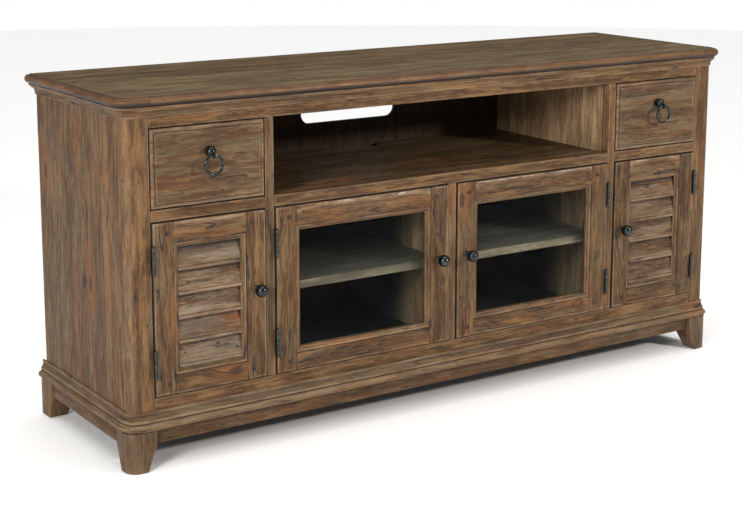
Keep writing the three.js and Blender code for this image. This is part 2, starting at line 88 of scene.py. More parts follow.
class ConsoleSizes(PropertyGroup):
    ease: FloatProperty(
        name="Edge ease", description="How far the edges of the boards are rounded over",
        default=0.0014, min=0.0003, max=0.004, unit="LENGTH")
    unevenness: FloatProperty(
        name="Unevenness", description="How much that rounding wanders along an edge",
        default=0.75, min=0, max=1, subtype="FACTOR")
    step: FloatProperty(
        name="Edge step", description="Distance between points along an edge",
        default=0.022, min=0.005, max=0.1, unit="LENGTH")
    top_planks: IntProperty(
        name="Top planks", description="Boards across the depth of the top", default=4, min=1, max=8)
    slats: IntProperty(name="Slats", description="Slats in a louvred door", default=5, min=2, max=12)
    peg: FloatProperty(
        name="Peg", description="Diameter of the pegs at the corners of the doors",
        default=0.0078, unit="LENGTH")
    knuckles: IntProperty(name="Knuckles", description="Knuckles of a hinge", default=5, min=3, max=9)
    pin_pitch: FloatProperty(
        name="Shelf pin pitch", description="Height between the holes for the shelf pins",
        default=0.032, unit="LENGTH")


def colour(label, text, value):
    return FloatVectorProperty(
        name=label, description=text, default=value, size=3, min=0, max=1, subtype="COLOR")


class ConsoleColours(PropertyGroup):
    brown: colour("Brown", "Middle tone of the stained wood", (0.166, 0.093, 0.041))
    dark: colour("Dark grain", "Dark lines of the grain", (0.066, 0.035, 0.018))
    russet: colour("Russet", "Redder patches in the stain", (0.195, 0.080, 0.031))
    olive: colour("Olive", "Greenish grey wash over the stain", (0.128, 0.098, 0.056))
    bare: colour("Bare wood", "Paler wood where the edges are worn", (0.340, 0.240, 0.155))
    chip: colour("Chips", "Nearly white wood where an edge is chipped", (0.58, 0.50, 0.41))
    # This near-black also colours the painted shade in gaps, quirks and under noses
    split: colour("Splits", "Filled splits and worm holes", (0.018, 0.019, 0.021))
    # Painted shade: this stain is kept dark to stand in for the shade inside the cabinet
    inner: colour("Inner stain", "Stain inside the cabinet", (0.070, 0.048, 0.027))
    # Painted shade: the near-black that the boards inside the lower cabinets darken to towards the back
    deep_shade: colour("Gloom", "Nearly black stain deep inside the lower cabinets", (0.011, 0.015, 0.017))
    maple: colour("Drawer wood", "Sealed sides of the drawers", (0.42, 0.29, 0.17))
    iron: colour("Iron", "Black bronze of the hinges, knobs and rings", (0.030, 0.037, 0.037))
    floor: colour("Floor", "Floor under the console", (0.97, 0.97, 0.968))


def sizes():
    return bpy.context.scene.console_sizes


def colours():
    return bpy.context.scene.console_colours


# ---------------------------------------------------------------- shader helpers


class Graph:
    """Adds nodes to a tree and links them."""

    def __init__(self, tree):
        self.tree = tree

    def add(self, kind, feeds=None, **settings):
        node = self.tree.nodes.new("ShaderNode" + kind)
        for key, value in settings.items():
            setattr(node, key, value)
        for key, value in (feeds or {}).items():
            self.feed(node.inputs[key], value)
        return node

    def feed(self, socket, value):
        if isinstance(value, bpy.types.NodeSocket):
            self.tree.links.new(value, socket)
        else:
            socket.default_value = value

    def maths(self, operation, *values, clamp=False):
        node = self.add("Math", dict(enumerate(values)), operation=operation, use_clamp=clamp)
        return node.outputs[0]

    def mix(self, share, first, second):
        feeds = {0: share, 6: rgba(first), 7: rgba(second)}
        return self.add("Mix", feeds, data_type="RGBA").outputs[2]

    def scaled(self, vector, along, across, through):
        factors = {0: vector, 1: (along, across, through)}
        return self.add("VectorMath", factors, operation="MULTIPLY").outputs[0]

    def moved(self, vector, offset):
        return self.add("VectorMath", {0: vector, 1: offset}, operation="ADD").outputs[0]

    def cloud(self, vector, detail=2.0, roughness=0.5, distortion=0.0):
        feeds = {"Vector": vector, "Scale": 1.0, "Detail": detail, "Roughness": roughness}
        return self.add("TexNoise", {**feeds, "Distortion": distortion}).outputs[0]

    def between(self, value, low, high, start=0.0, end=1.0):
        """Rises smoothly from start to end as value goes from low to high."""
        feeds = {0: value, 1: low, 2: high, 3: start, 4: end}
        return self.add("MapRange", feeds, interpolation_type="SMOOTHSTEP").outputs[0]


def rgba(value):
    if isinstance(value, bpy.types.NodeSocket):
        return value
    return (*value, 1.0) if len(value) == 3 else value


def new_group(name, inputs, outputs):
    """A node group with named sockets, (name, kind) or (name, kind, default), and its two ends."""
    group = bpy.data.node_groups.new(name, "ShaderNodeTree")
    for in_out, sockets in (("INPUT", inputs), ("OUTPUT", outputs)):
        for label, kind, *default in sockets:
            made = group.interface.new_socket(name=label, in_out=in_out, socket_type="NodeSocket" + kind)
            if default:
                made.default_value = default[0]
    graph = Graph(group)
    start = group.nodes.new("NodeGroupInput")
    end = group.nodes.new("NodeGroupOutput")
    return group, graph, start.outputs, end.inputs


def shared_group(name, build):
    return bpy.data.node_groups.get(name) or build(name)


def build_figure(name):
    """Grain of a plain-sawn board: soft bands, fine pores, knots and dark filled splits."""
    group, g, given, result = new_group(
        name,
        [("Grain", "Vector"), ("Waviness", "Float", 0.02), ("Knots", "Float", 0.3), ("Splits", "Float", 0.5)],
        [("Bands", "Float"), ("Pores", "Float"), ("Knot", "Float"), ("Split", "Float"), ("Fleck", "Float"),
         ("Height", "Float")],
    )
    grain = given["Grain"]
    drift = g.maths("SUBTRACT", g.cloud(g.scaled(grain, 2.2, 9, 9), 1.0), 0.5)
    push = g.add("CombineXYZ", {1: g.maths("MULTIPLY", drift, given["Waviness"])}).outputs[0]

    # A knot is a stretched cell point; only the cells with a high random value have one.
    cells = g.add(
        "TexVoronoi", {"Vector": g.scaled(grain, 3.4, 7.5, 0), "Scale": 1.0}, voronoi_dimensions="2D")
    chance = g.add("SeparateColor", {0: cells.outputs["Color"]}).outputs[0]
    chosen = g.maths("LESS_THAN", chance, given["Knots"])
    near = g.between(cells.outputs["Distance"], 0.02, 0.34, 1.0, 0.0)
    near = g.maths("MULTIPLY", near, chosen)
    core = g.between(cells.outputs["Distance"], 0.045, 0.075, 1.0, 0.0)
    core = g.maths("MULTIPLY", core, chosen)
    swirl = g.add("CombineXYZ", {1: g.maths("MULTIPLY", near, 0.020)}).outputs[0]
    bent = g.moved(g.moved(grain, push), swirl)

    broad = g.cloud(g.scaled(bent, 2.4, 26, 26), 3.0, 0.55)
    streaks = g.cloud(g.scaled(bent, 10, 95, 95), 4.0, 0.64, 0.25)
    fibres = g.cloud(g.scaled(bent, 46, 330, 330), 3.0, 0.6)
    bands = g.maths("ADD", g.maths("MULTIPLY", broad, 0.30), g.maths("MULTIPLY", streaks, 0.45))
    bands = g.maths("ADD", bands, g.maths("MULTIPLY", fibres, 0.25))
    bands = g.between(bands, 0.425, 0.585)
    fine = g.cloud(g.scaled(bent, 30, 600, 600), 2.0, 0.5)
    pores = g.between(fine, 0.55, 0.68)
    tear = g.cloud(g.scaled(g.moved(bent, (3.1, 1.7, 0.4)), 14, 105, 105), 3.0, 0.66, 0.8)
    level = g.between(given["Splits"], 0.0, 1.0, 0.72, 0.56)
    split = g.between(g.maths("SUBTRACT", tear, level), 0.0, 0.05)
    holes = g.cloud(g.scaled(grain, 150, 210, 210), 0.0)
    split = g.maths("MAXIMUM", split, g.between(holes, 0.82, 0.86))
    split = g.maths("MAXIMUM", split, g.maths("MULTIPLY", core, 0.8))
    speck = g.cloud(g.scaled(g.moved(grain, (0.7, 5.1, 2.2)), 60, 150, 150), 2.0, 0.6)

    height = g.maths("SUBTRACT", g.maths("MULTIPLY", bands, 0.35), g.maths("MULTIPLY", pores, 0.3))
    height = g.maths("SUBTRACT", height, g.maths("MULTIPLY", split, 0.9))
    g.feed(result["Bands"], bands)
    g.feed(result["Pores"], pores)
    g.feed(result["Knot"], near)
    g.feed(result["Split"], split)
    g.feed(result["Fleck"], g.between(speck, 0.56, 0.68))
    g.feed(result["Height"], height)
    return group


def build_stain(name):
    """Uneven stain: masks for redder patches, a grey-olive wash and darker clouds."""
    group, g, given, result = new_group(
        name,
        [("Grain", "Vector"), ("Tone", "Vector")],
        [("Russet", "Float"), ("Olive", "Float"), ("Cloud", "Float"), ("Light", "Float")],
    )
    grain = given["Grain"]
    tone = g.add("SeparateXYZ", {0: given["Tone"]}).outputs
    red = g.cloud(g.scaled(g.moved(grain, (5.3, 0.2, 0)), 7, 30, 30), 3.0, 0.55)
    red = g.maths("ADD", red, g.maths("MULTIPLY", tone[1], 0.10))
    wash = g.cloud(g.scaled(g.moved(grain, (1.3, 7.2, 0)), 6, 36, 36), 4.0, 0.62)
    wash = g.maths("ADD", wash, g.maths("MULTIPLY", tone[2], 0.10))
    cloud = g.cloud(g.scaled(g.moved(grain, (8.8, 3.0, 0)), 9, 34, 34), 4.0, 0.6)
    g.feed(result["Russet"], g.between(red, 0.50, 0.70))
    g.feed(result["Olive"], g.between(wash, 0.46, 0.68))
    g.feed(result["Cloud"], g.between(cloud, 0.38, 0.66))
    g.feed(result["Light"], tone[0])
    return group


def build_edge_wear_and_shade(name):
    """Where the finish is rubbed through or chipped, and painted shade in gaps, quirks and under noses.

    The level runs from 1 on a rubbed edge and 2 on a knocked one down to -1, painted shade deep in a gap; the
    knot's real dark crescent uses the same negative levels."""
    group, g, given, result = new_group(
        name,
        [("Grain", "Vector"), ("Wear", "Float"), ("Rub", "Float", 0.5)],
        [("Rubbed", "Float"), ("Chipped", "Float"), ("Glaze", "Float")],
    )
    wear = g.maths("MAXIMUM", given["Wear"], 0.0)
    patch = g.cloud(g.scaled(given["Grain"], 14, 70, 70), 4.0, 0.65)
    rubbed = g.maths("MULTIPLY", g.maths("MINIMUM", wear, 1.0), g.between(patch, 0.36, 0.62, 0.15, 1.0))
    rubbed = g.maths("MULTIPLY", rubbed, given["Rub"], clamp=True)
    flake = g.cloud(g.scaled(g.moved(given["Grain"], (2.0, 4.0, 6.0)), 26, 120, 120), 5.0, 0.7)
    spot = g.between(g.cloud(g.scaled(given["Grain"], 11, 40, 40), 2.0), 0.47, 0.60)
    deep = g.maths("MULTIPLY", g.maths("SUBTRACT", wear, 0.95, clamp=True), spot)
    deep = g.maths("MULTIPLY", deep, 1.4, clamp=True)
    g.feed(result["Rubbed"], rubbed)
    g.feed(result["Chipped"], g.maths("MULTIPLY", g.between(flake, 0.44, 0.60), deep))
    # Negative levels: painted shade in gaps, quirks and under noses, and the knot's real dark crescent
    g.feed(result["Glaze"], g.maths("MULTIPLY", given["Wear"], -1.0, clamp=True))
    return group


WoodLook = namedtuple(
    "WoodLook", "base dark russet olive waviness knots splits rub wash roughness relief fade",
    defaults=(0.0007, None))


def wood(name, look):
    """Stained wood. look holds its colours and how strong each effect is."""
    made = bpy.data.materials.get(name)
    if made:
        return made
    made = bpy.data.materials.new(name)
    made.use_nodes = True
    g = Graph(made.node_tree)
    bsdf = made.node_tree.nodes["Principled BSDF"]
    grain = g.add("Attribute", attribute_name="grain").outputs["Vector"]
    wear = g.add("Attribute", attribute_name="wear").outputs["Fac"]
    tone = g.add("Attribute", attribute_name="tone").outputs["Vector"]

    figure = g.add("Group", node_tree=shared_group("Wood figure", build_figure))
    for label, value in (("Grain", grain), ("Waviness", look.waviness), ("Knots", look.knots),
                         ("Splits", look.splits)):
        g.feed(figure.inputs[label], value)
    stain = g.add("Group", node_tree=shared_group("Uneven stain", build_stain))
    g.feed(stain.inputs["Grain"], grain)
    g.feed(stain.inputs["Tone"], tone)
    wear_and_gap_shade = g.add("Group", node_tree=shared_group("Edge wear", build_edge_wear_and_shade))
    for label, value in (("Grain", grain), ("Wear", wear), ("Rub", look.rub)):
        g.feed(wear_and_gap_shade.inputs[label], value)

    shade = g.mix(figure.outputs["Bands"], look.dark, look.base)
    shade = g.mix(g.maths("MULTIPLY", stain.outputs["Russet"], 0.5), shade, look.russet)
    shade = g.mix(g.maths("MULTIPLY", figure.outputs["Fleck"], 0.45), shade, look.russet)
    shade = g.mix(g.maths("MULTIPLY", stain.outputs["Olive"], look.wash), shade, look.olive)
    lines = g.maths("MULTIPLY", g.maths("SUBTRACT", 1.0, figure.outputs["Bands"]), 0.60)
    shade = g.mix(lines, shade, look.dark)
    shade = g.mix(g.maths("MULTIPLY", figure.outputs["Knot"], 0.7), shade, look.russet)
    pores = g.maths("MULTIPLY", figure.outputs["Pores"], 0.5)
    shade = g.mix(pores, shade, tuple(0.55 * part for part in look.dark))
    value = g.maths("ADD", 0.86, g.maths("MULTIPLY", stain.outputs["Cloud"], 0.26))
    value = g.maths("ADD", value, g.maths("MULTIPLY", stain.outputs["Light"], 0.13))
    shade = g.add("HueSaturation", {"Value": value, "Color": shade}).outputs[0]
    shade = g.mix(g.maths("MULTIPLY", figure.outputs["Split"], 0.82), shade, tuple(colours().split))
    shade = g.mix(g.maths("MULTIPLY", wear_and_gap_shade.outputs["Rubbed"], 0.72), shade, tuple(colours().bare))
    shade = g.mix(wear_and_gap_shade.outputs["Chipped"], shade, tuple(colours().chip))
    # Painted shade: negative levels darken gaps, quirks and the undersides of noses nearly to the colour of
    # the splits
    shade = g.mix(g.maths("MULTIPLY", wear_and_gap_shade.outputs["Glaze"], 0.92), shade, tuple(colours().split))
    # Painted shade: inner boards darken towards the back, by their depth, to the deep shade colour
    if look.fade:
        depth = g.add("SeparateXYZ", {0: g.add("TexCoord").outputs["Object"]}).outputs[1]
        shade = g.mix(g.between(depth, *look.fade), shade, tuple(colours().deep_shade))
    g.feed(bsdf.inputs["Base Color"], shade)

    rough = g.maths("ADD", look.roughness, g.maths("MULTIPLY", figure.outputs["Pores"], 0.12))
    rough = g.maths("SUBTRACT", rough, g.maths("MULTIPLY", figure.outputs["Bands"], 0.08))
    g.feed(bsdf.inputs["Roughness"], rough)
    wave = g.cloud(g.scaled(grain, 9, 34, 34), 2.0)
    height = g.maths("ADD", figure.outputs["Height"], g.maths("MULTIPLY", wave, 0.8))
    height = g.maths("SUBTRACT", height, g.maths("MULTIPLY", wear_and_gap_shade.outputs["Chipped"], 0.8))
    bump = g.add("Bump", {"Strength": 0.85, "Distance": look.relief, "Height": height})
    g.feed(bsdf.inputs["Normal"], bump.outputs[0])
    bsdf.inputs["Specular IOR Level"].default_value = 0.09
    return made


def front_wood():
    c = colours()
    return wood("front_wood", WoodLook(
        c.brown, c.dark, c.russet, c.olive, waviness=0.030, knots=0.16, splits=0.55, rub=0.62, wash=0.62,
        roughness=0.50))


def top_wood():
    base = (0.160, 0.109, 0.055)
    dark = (0.070, 0.046, 0.023)
    russet = (0.130, 0.066, 0.032)
    olive = (0.148, 0.118, 0.064)
    return wood("top_wood", WoodLook(
        base, dark, russet, olive, waviness=0.022, knots=0.07, splits=0.25, rub=0.45, wash=0.8,
        roughness=0.66, relief=0.0004))


def nose_wood():
    c = colours()
    base = (0.120, 0.060, 0.028)
    return wood("nose_wood", WoodLook(
        base, c.dark, c.russet, c.olive, waviness=0.02, knots=0.0, splits=0.35, rub=0.45, wash=0.35,
        roughness=0.34, relief=0.0004))


def slat_wood():
    c = colours()
    base = (0.172, 0.118, 0.074)
    olive = (0.165, 0.138, 0.105)
    return wood("slat_wood", WoodLook(
        base, c.dark, c.russet, olive, waviness=0.03, knots=0.05, splits=0.62, rub=0.80, wash=0.85,
        roughness=0.52))


# Dark wood inside the cabinet: its darkness is painted shade for the spaces behind the drawers and louvres
def inner_wood_painted_shade():
    c = colours()
    dark = tuple(0.5 * part for part in c.inner)
    russet = (0.085, 0.052, 0.030)
    olive = (0.058, 0.054, 0.040)
    return wood("inner_wood_painted_shade", WoodLook(
        c.inner, dark, russet, olive, waviness=0.02, knots=0.08, splits=0.25, rub=0.5, wash=0.7,
        roughness=0.46))


def drawer_wood():
    c = colours()
    dark = (0.27, 0.175, 0.095)
    russet = (0.42, 0.24, 0.12)
    return wood("drawer_wood", WoodLook(
        c.maple, dark, russet, c.maple, waviness=0.015, knots=0.0, splits=0.05, rub=0.1, wash=0.3,
        roughness=0.5, relief=0.0002))


def shelf_edge_wood():
    base = (0.190, 0.146, 0.097)
    dark = (0.095, 0.073, 0.048)
    olive = (0.16, 0.13, 0.09)
    return wood("shelf_edge_wood", WoodLook(
        base, dark, base, olive, waviness=0.02, knots=0.0, splits=0.2, rub=0.5, wash=0.6, roughness=0.5))


def partition_wood():
    c = colours()
    base = (0.230, 0.150, 0.085)
    dark = (0.120, 0.078, 0.044)
    # Painted shade towards the back of the lower cabinet
    fade = (FACE + 0.12, FACE + 0.25)
    return wood("partition_wood", WoodLook(
        base, dark, base, c.brown, waviness=0.02, knots=0.1, splits=0.25, rub=0.4, wash=0.5,
        roughness=0.5, relief=0.0005, fade=fade))


def bay_wood_painted_light():
    """Sides of the media bay, far paler than the front wood: painted light standing in for light falling into
    the bay
    """
    c = colours()
    base = (0.520, 0.345, 0.195)
    dark = (0.265, 0.166, 0.090)
    return wood("bay_wood_painted_light", WoodLook(
        base, dark, base, c.olive, waviness=0.02, knots=0.1, splits=0.2, rub=0.4, wash=0.35,
        roughness=0.5))


def deck_wood_painted_shade():
    """Floor of the media bay, stained like the front; its darker colour is painted shade inside the bay"""
    c = colours()
    base = (0.140, 0.092, 0.050)
    dark = (0.053, 0.034, 0.018)
    return wood("deck_wood_painted_shade", WoodLook(
        base, dark, c.russet, c.olive, waviness=0.03, knots=0.1, splits=0.45, rub=0.4, wash=0.4,
        roughness=0.42))


def lower_floor_wood():
    """Floor of the lower cabinets, with painted shade darkening it towards the back"""
    base = (0.075, 0.066, 0.048)
    dark = (0.035, 0.033, 0.026)
    fade = (FACE + 0.05, FACE + 0.22)
    return wood("lower_floor_wood", WoodLook(
        base, dark, base, base, waviness=0.02, knots=0.1, splits=0.2, rub=0.4, wash=0.5,
        roughness=0.5, relief=0.0005, fade=fade))


def shelf_wood():
    base = (0.125, 0.112, 0.080)
    dark = (0.060, 0.055, 0.042)
    # Painted shade towards the back of the shelf
    fade = (FACE + 0.16, FACE + 0.42)
    return wood("shelf_wood", WoodLook(
        base, dark, base, base, waviness=0.02, knots=0.1, splits=0.2, rub=0.4, wash=0.5,
        roughness=0.5, relief=0.0005, fade=fade))


# Back panel, darker still than the inner wood: painted shade for the back of the bay and the cabinets
def back_wood():
    c = colours()
    dark = tuple(0.35 * part for part in c.inner)
    base = tuple(0.62 * part for part in c.inner)
    olive = tuple(0.6 * part for part in c.inner)
    return wood("back_wood", WoodLook(
        base, dark, base, olive, waviness=0.02, knots=0.1, splits=0.1, rub=0.3, wash=0.7, roughness=0.6))


def door_wood():
    c = colours()
    return wood("door_wood", WoodLook(
        c.brown, c.dark, c.russet, c.olive, waviness=0.040, knots=0.22, splits=0.75, rub=0.75, wash=0.60,
        roughness=0.50))


def peg_wood():
    c = colours()
    base = (0.075, 0.040, 0.022)
    return wood("peg_wood", WoodLook(
        base, c.split, base, base, waviness=0.02, knots=0.0, splits=0.2, rub=0.4, wash=0.3, roughness=0.5))


def knot_wood():
    c = colours()
    base = (0.230, 0.085, 0.030)
    dark = (0.060, 0.022, 0.012)
    return wood("knot_wood", WoodLook(
        base, dark, base, c.russet, waviness=0.02, knots=0.0, splits=0.6, rub=0.4, wash=0.3,
        roughness=0.45))


def foot_wood():
    c = colours()
    base = (0.108, 0.071, 0.041)
    return wood("foot_wood", WoodLook(
        base, c.dark, c.russet, c.olive, waviness=0.030, knots=0.1, splits=0.55, rub=0.5, wash=0.60,
        roughness=0.50))


def drawer_face_wood():
    c = colours()
    base = (0.150, 0.093, 0.050)
    return wood("drawer_face_wood", WoodLook(
        base, c.dark, c.russet, c.olive, waviness=0.035, knots=0.1, splits=0.5, rub=0.7, wash=0.8,
        roughness=0.46))


def iron():
    """Blackened bronze with a fine cast skin, a little paler where it is handled."""
    made = bpy.data.materials.get("black_bronze")
    if made:
        return made
    made = bpy.data.materials.new("black_bronze")
    made.use_nodes = True
    g = Graph(made.node_tree)
    bsdf = made.node_tree.nodes["Principled BSDF"]
    place = g.add("TexCoord").outputs["Object"]
    skin = g.cloud(g.scaled(place, 420, 420, 420), 3.0, 0.6)
    patina = g.cloud(g.scaled(place, 90, 90, 90), 3.0, 0.6)
    rub = g.between(patina, 0.50, 0.72)
    tint = tuple(colours().iron)
    g.feed(bsdf.inputs["Base Color"], g.mix(rub, tint, tuple(2.1 * part for part in tint)))
    g.feed(bsdf.inputs["Roughness"], g.between(patina, 0.3, 0.7, 0.22, 0.13))
    bump = g.add("Bump", {"Strength": 0.35, "Distance": 0.0002, "Height": skin})
    g.feed(bsdf.inputs["Normal"], bump.outputs[0])
    bsdf.inputs["Metallic"].default_value = 0.92
    bsdf.inputs["Coat Weight"].default_value = 0.12
    bsdf.inputs["Coat Roughness"].default_value = 0.09
    return made


def peg_gap_and_hole_shade():
    """Stain-filled gap round a peg, and painted shade for the inside of a drilled hole."""
    made = bpy.data.materials.get("peg_gap_and_hole_shade")
    if made:
        return made
    made = bpy.data.materials.new("peg_gap_and_hole_shade")
    made.use_nodes = True
    g = Graph(made.node_tree)
    bsdf = made.node_tree.nodes["Principled BSDF"]
    place = g.add("TexCoord").outputs["Object"]
    speck = g.cloud(g.scaled(place, 900, 900, 900), 2.0)
    g.feed(bsdf.inputs["Base Color"], g.mix(speck, (0.012, 0.009, 0.007), (0.05, 0.036, 0.026)))
    bsdf.inputs["Roughness"].default_value = 0.9
    return made


def glass():
    """Clear float glass that lets the lamps through, with a faint greenish tint and dust."""
    made = bpy.data.materials.get("clear_glass")
    if made:
        return made
    made = bpy.data.materials.new("clear_glass")
    made.use_nodes = True
    g = Graph(made.node_tree)
    bsdf = made.node_tree.nodes["Principled BSDF"]
    place = g.add("TexCoord").outputs["Object"]
    dust = g.cloud(g.scaled(place, 14, 14, 14), 4.0, 0.6)
    g.feed(bsdf.inputs["Roughness"], g.between(dust, 0.3, 0.8, 0.0, 0.05))
    bsdf.inputs["Base Color"].default_value = (0.88, 0.93, 0.95, 1)
    bsdf.inputs["Transmission Weight"].default_value = 1.0
    bsdf.inputs["IOR"].default_value = 1.08
    path = g.add("LightPath").outputs["Is Shadow Ray"]
    clear = g.add("BsdfTransparent", {"Color": (0.80, 0.86, 0.85, 1)})
    both = g.add("MixShader", {0: path, 1: bsdf.outputs[0], 2: clear.outputs[0]})
    output = made.node_tree.nodes["Material Output"]
    g.feed(output.inputs["Surface"], both.outputs[0])
    return made


# ---------------------------------------------------------------- mesh helpers

AXES = {"x": Vector((1, 0, 0)), "y": Vector((0, 1, 0)), "z": Vector((0, 0, 1))}


class Board:
    """A mesh under construction that notes the wood's own coordinates at every point.

    grain names the axis along the grain and the one across it, such as "xz"."""

    def __init__(self, name, grain="xz", tone=None):
        self.name = name
        self.bm = bmesh.new()
        layers = self.bm.verts.layers
        self.grain = layers.float_vector.new("grain")
        self.wear = layers.float.new("wear")
        self.tone = layers.float_vector.new("tone")
        self.order = ["xyz".index(axis) for axis in grain + "".join(set("xyz") - set(grain))]
        chance = random.Random(name)
        self.offset = Vector((chance.uniform(0, 9), chance.uniform(0, 9), chance.uniform(0, 9)))
        self.mood = Vector(tone or (chance.uniform(-1, 1), chance.uniform(-1, 1), chance.uniform(-1, 1)))

    def point(self, place, wear=0.0, grain=None):
        vert = self.bm.verts.new(place)
        inside = Vector([place[i] for i in self.order]) if grain is None else Vector(grain)
        vert[self.grain] = inside + self.offset
        vert[self.wear] = wear
        vert[self.tone] = self.mood
        return vert

    def skin(self, rings, capped=True, closed=False):
        """Joins rings of points, each ring closed on itself, from the first to the last."""
        pairs = list(zip(rings, rings[1:]))
        if closed:
            pairs.append((rings[-1], rings[0]))
        for a, b in pairs:
            for i in range(len(a)):
                j = (i + 1) % len(a)
                self.bm.faces.new((a[i], a[j], b[j], b[i]))
        if capped:
            self.bm.faces.new(list(reversed(rings[0])))
            self.bm.faces.new(rings[-1])

    def finish(self, material, body, replaces=(), sharp=38):
        bmesh.ops.recalc_face_normals(self.bm, faces=self.bm.faces)
        mesh = bpy.data.meshes.new(self.name)
        self.bm.to_mesh(mesh)
        self.bm.free()
        mesh.polygons.foreach_set("use_smooth", [True] * len(mesh.polygons))
        mesh.set_sharp_from_angle(angle=math.radians(sharp))
        mesh.materials.append(material)
        made = bpy.data.objects.new(self.name, mesh)
        bpy.context.scene.collection.objects.link(made)
        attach(made, body)
        if replaces:
            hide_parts(*replaces)
        return made


def spread(start, end, step):
    count = max(1, round(abs(end - start) / step))
    return [start + (end - start) * i / count for i in range(count + 1)]


def rounded(p0, p1, q0, q1, radius):
    """Counter-clockwise rectangle with small round corners and points all along its edges."""
    step = sizes().step
    p0, p1 = sorted((p0, p1))
    q0, q1 = sorted((q0, q1))
    corners = ((p1 - radius, q0 + radius, 270), (p1 - radius, q1 - radius, 0),
               (p0 + radius, q1 - radius, 90), (p0 + radius, q0 + radius, 180))
    outline = []
    for k, (cp, cq, turn) in enumerate(corners):
        for angle in (turn, turn + 45, turn + 90):
            a = math.radians(angle)
            outline.append((cp + radius * math.cos(a), cq + radius * math.sin(a)))
        next_p, next_q, next_turn = corners[(k + 1) % 4]
        a = math.radians(next_turn)
        here, there = outline[-1], (next_p + radius * math.cos(a), next_q + radius * math.sin(a))
        reach = math.dist(here, there)
        for s in spread(0, reach, step)[1:-1]:
            outline.append(tuple(h + (t - h) * s / reach for h, t in zip(here, there)))
    return outline


def far_point(outline, i, way, reach=0.004):
    """The next point of an outline, or the one before it, that is not part of the same small round."""
    k = i + way
    while math.dist(outline[k % len(outline)], outline[i]) < reach and abs(k - i) < 6:
        k += way
    return outline[k % len(outline)]


def inset(outline, distances):
    """Moves each point of a counter-clockwise outline inwards by its own distance."""
    moved = []
    for i, (p, q) in enumerate(outline):
        before, after = far_point(outline, i, -1), far_point(outline, i, 1)
        one = Vector((before[1] - q, p - before[0])).normalized()
        two = Vector((q - after[1], after[0] - p)).normalized()
        share = distances[i] / max(0.5, 1 + one.dot(two))
        moved.append((p + (one.x + two.x) * share, q + (one.y + two.y) * share))
    return moved


def placed(plane, p, q, height):
    """A point from its place in a plane, such as "xz", and its height off that plane."""
    third = next(axis for axis in "xyz" if axis not in plane)
    values = {plane[0]: p, plane[1]: q, third: height}
    return Vector((values["x"], values["y"], values["z"]))


def eased(rear, front, ease=None, knocked=1.0, both=False, band=0.0035):
    """Levels (inset, height, wear) of a board whose front edges are rounded over, or both faces'.

    band is how far the rubbed part reaches in from the edge."""
    ease = ease or sizes().ease
    way = 1 if front > rear else -1
    deep = min(0.006, 0.4 * abs(front - rear))
    # The first three levels run down the board's side into the gap: their negative levels are painted shade
    levels = [
        (0.0, front - way * deep, -1.0),
        (0.0, front - way * ease * 1.1, -1.0),
        (ease * 0.35, front - way * ease * 0.35, -0.55),
        (ease, front, 0.35),
        (ease * 1.6, front, 0.85 * knocked),
        (ease * 1.6 + band, front, 0.0),
    ]
    if both:
        mirrored = [(side, rear + way * (way * (front - height)), wear) for side, height, wear in levels]
        return list(reversed(mirrored)) + levels
    behind = [(ease * 0.5, rear, 0), (0.0, rear + way * ease * 0.5, 0), (0.0, front - way * deep * 1.3, 0)]
    return behind + levels


# Painted light: added to the tone of an open edge so its side is as pale as the sides of the media bay.
PAINTED_JAMB_LIGHT = Vector((8.5, 0.0, 0.0))


def slab(board, outline, plane, levels, edge=None):
    """A board from its outline in a plane and its levels; the easing wanders along each edge.

    edge(p, q) may return "joint" for a tight, unworn joint, "open" where no painted gap shade runs, or "pale"
    for an open edge whose side gets painted light."""
    mood = board.mood.copy()
    wander = 1.5 * sizes().unevenness
    extent = min(max(spot[k] for spot in outline) - min(spot[k] for spot in outline) for k in (0, 1))
    kinds = [edge(p, q) if edge else None for p, q in outline]
    rings = []
    for distance, height, wear in levels:
        distance = min(distance, 0.4 * extent)
        loose = min(distance, sizes().ease) * wander if wear > 0 else 0
        distances = []
        for (p, q), kind in zip(outline, kinds):
            place = placed(plane, p, q, 0) * 23 + board.offset
            here = distance + loose * max(-0.45, noise.noise(place))
            distances.append(min(here, 0.0003) if kind == "joint" and distance < 0.003 else here)
        ring = []
        for (p, q), kind in zip(inset(outline, distances), kinds):
            # Joints keep only negative levels, the painted gap shade; open edges keep only the rubbed levels.
            # A pale edge's side gets painted light.
            worn = min(wear, 0.0) if kind == "joint" else max(wear, 0.0) if kind else wear
            board.mood = mood + PAINTED_JAMB_LIGHT if kind == "pale" and distance == 0 else mood
            ring.append(board.point(placed(plane, p, q, height), worn))
        rings.append(ring)
    board.mood = mood
    board.skin(rings)
    return board


def plank(name, box, grain, front, rear, plane, material, body, replaces=(), **options):
    """A rectangular board between two heights off a plane, eased round the first one, or round both.

    box is its outline in the plane: (p0, p1, q0, q1)."""
    slot = options.pop("slot", "wood_front")
    tone = options.pop("tone", None)
    edge = options.pop("edge", None)
    board = Board(name, grain, tone)
    ease = options.get("ease") or sizes().ease
    slab(board, rounded(*box, radius=ease * 0.8), plane, eased(rear, front, **options), edge)
    return board.finish(material, body, replaces)


def arc(centre, radius, start, end, steps):
    points = []
    for i in range(steps + 1):
        a = math.radians(start + (end - start) * i / steps)
        points.append((centre[0] + radius * math.cos(a), centre[1] + radius * math.sin(a)))
    return points


NEEDLE = 1e-5


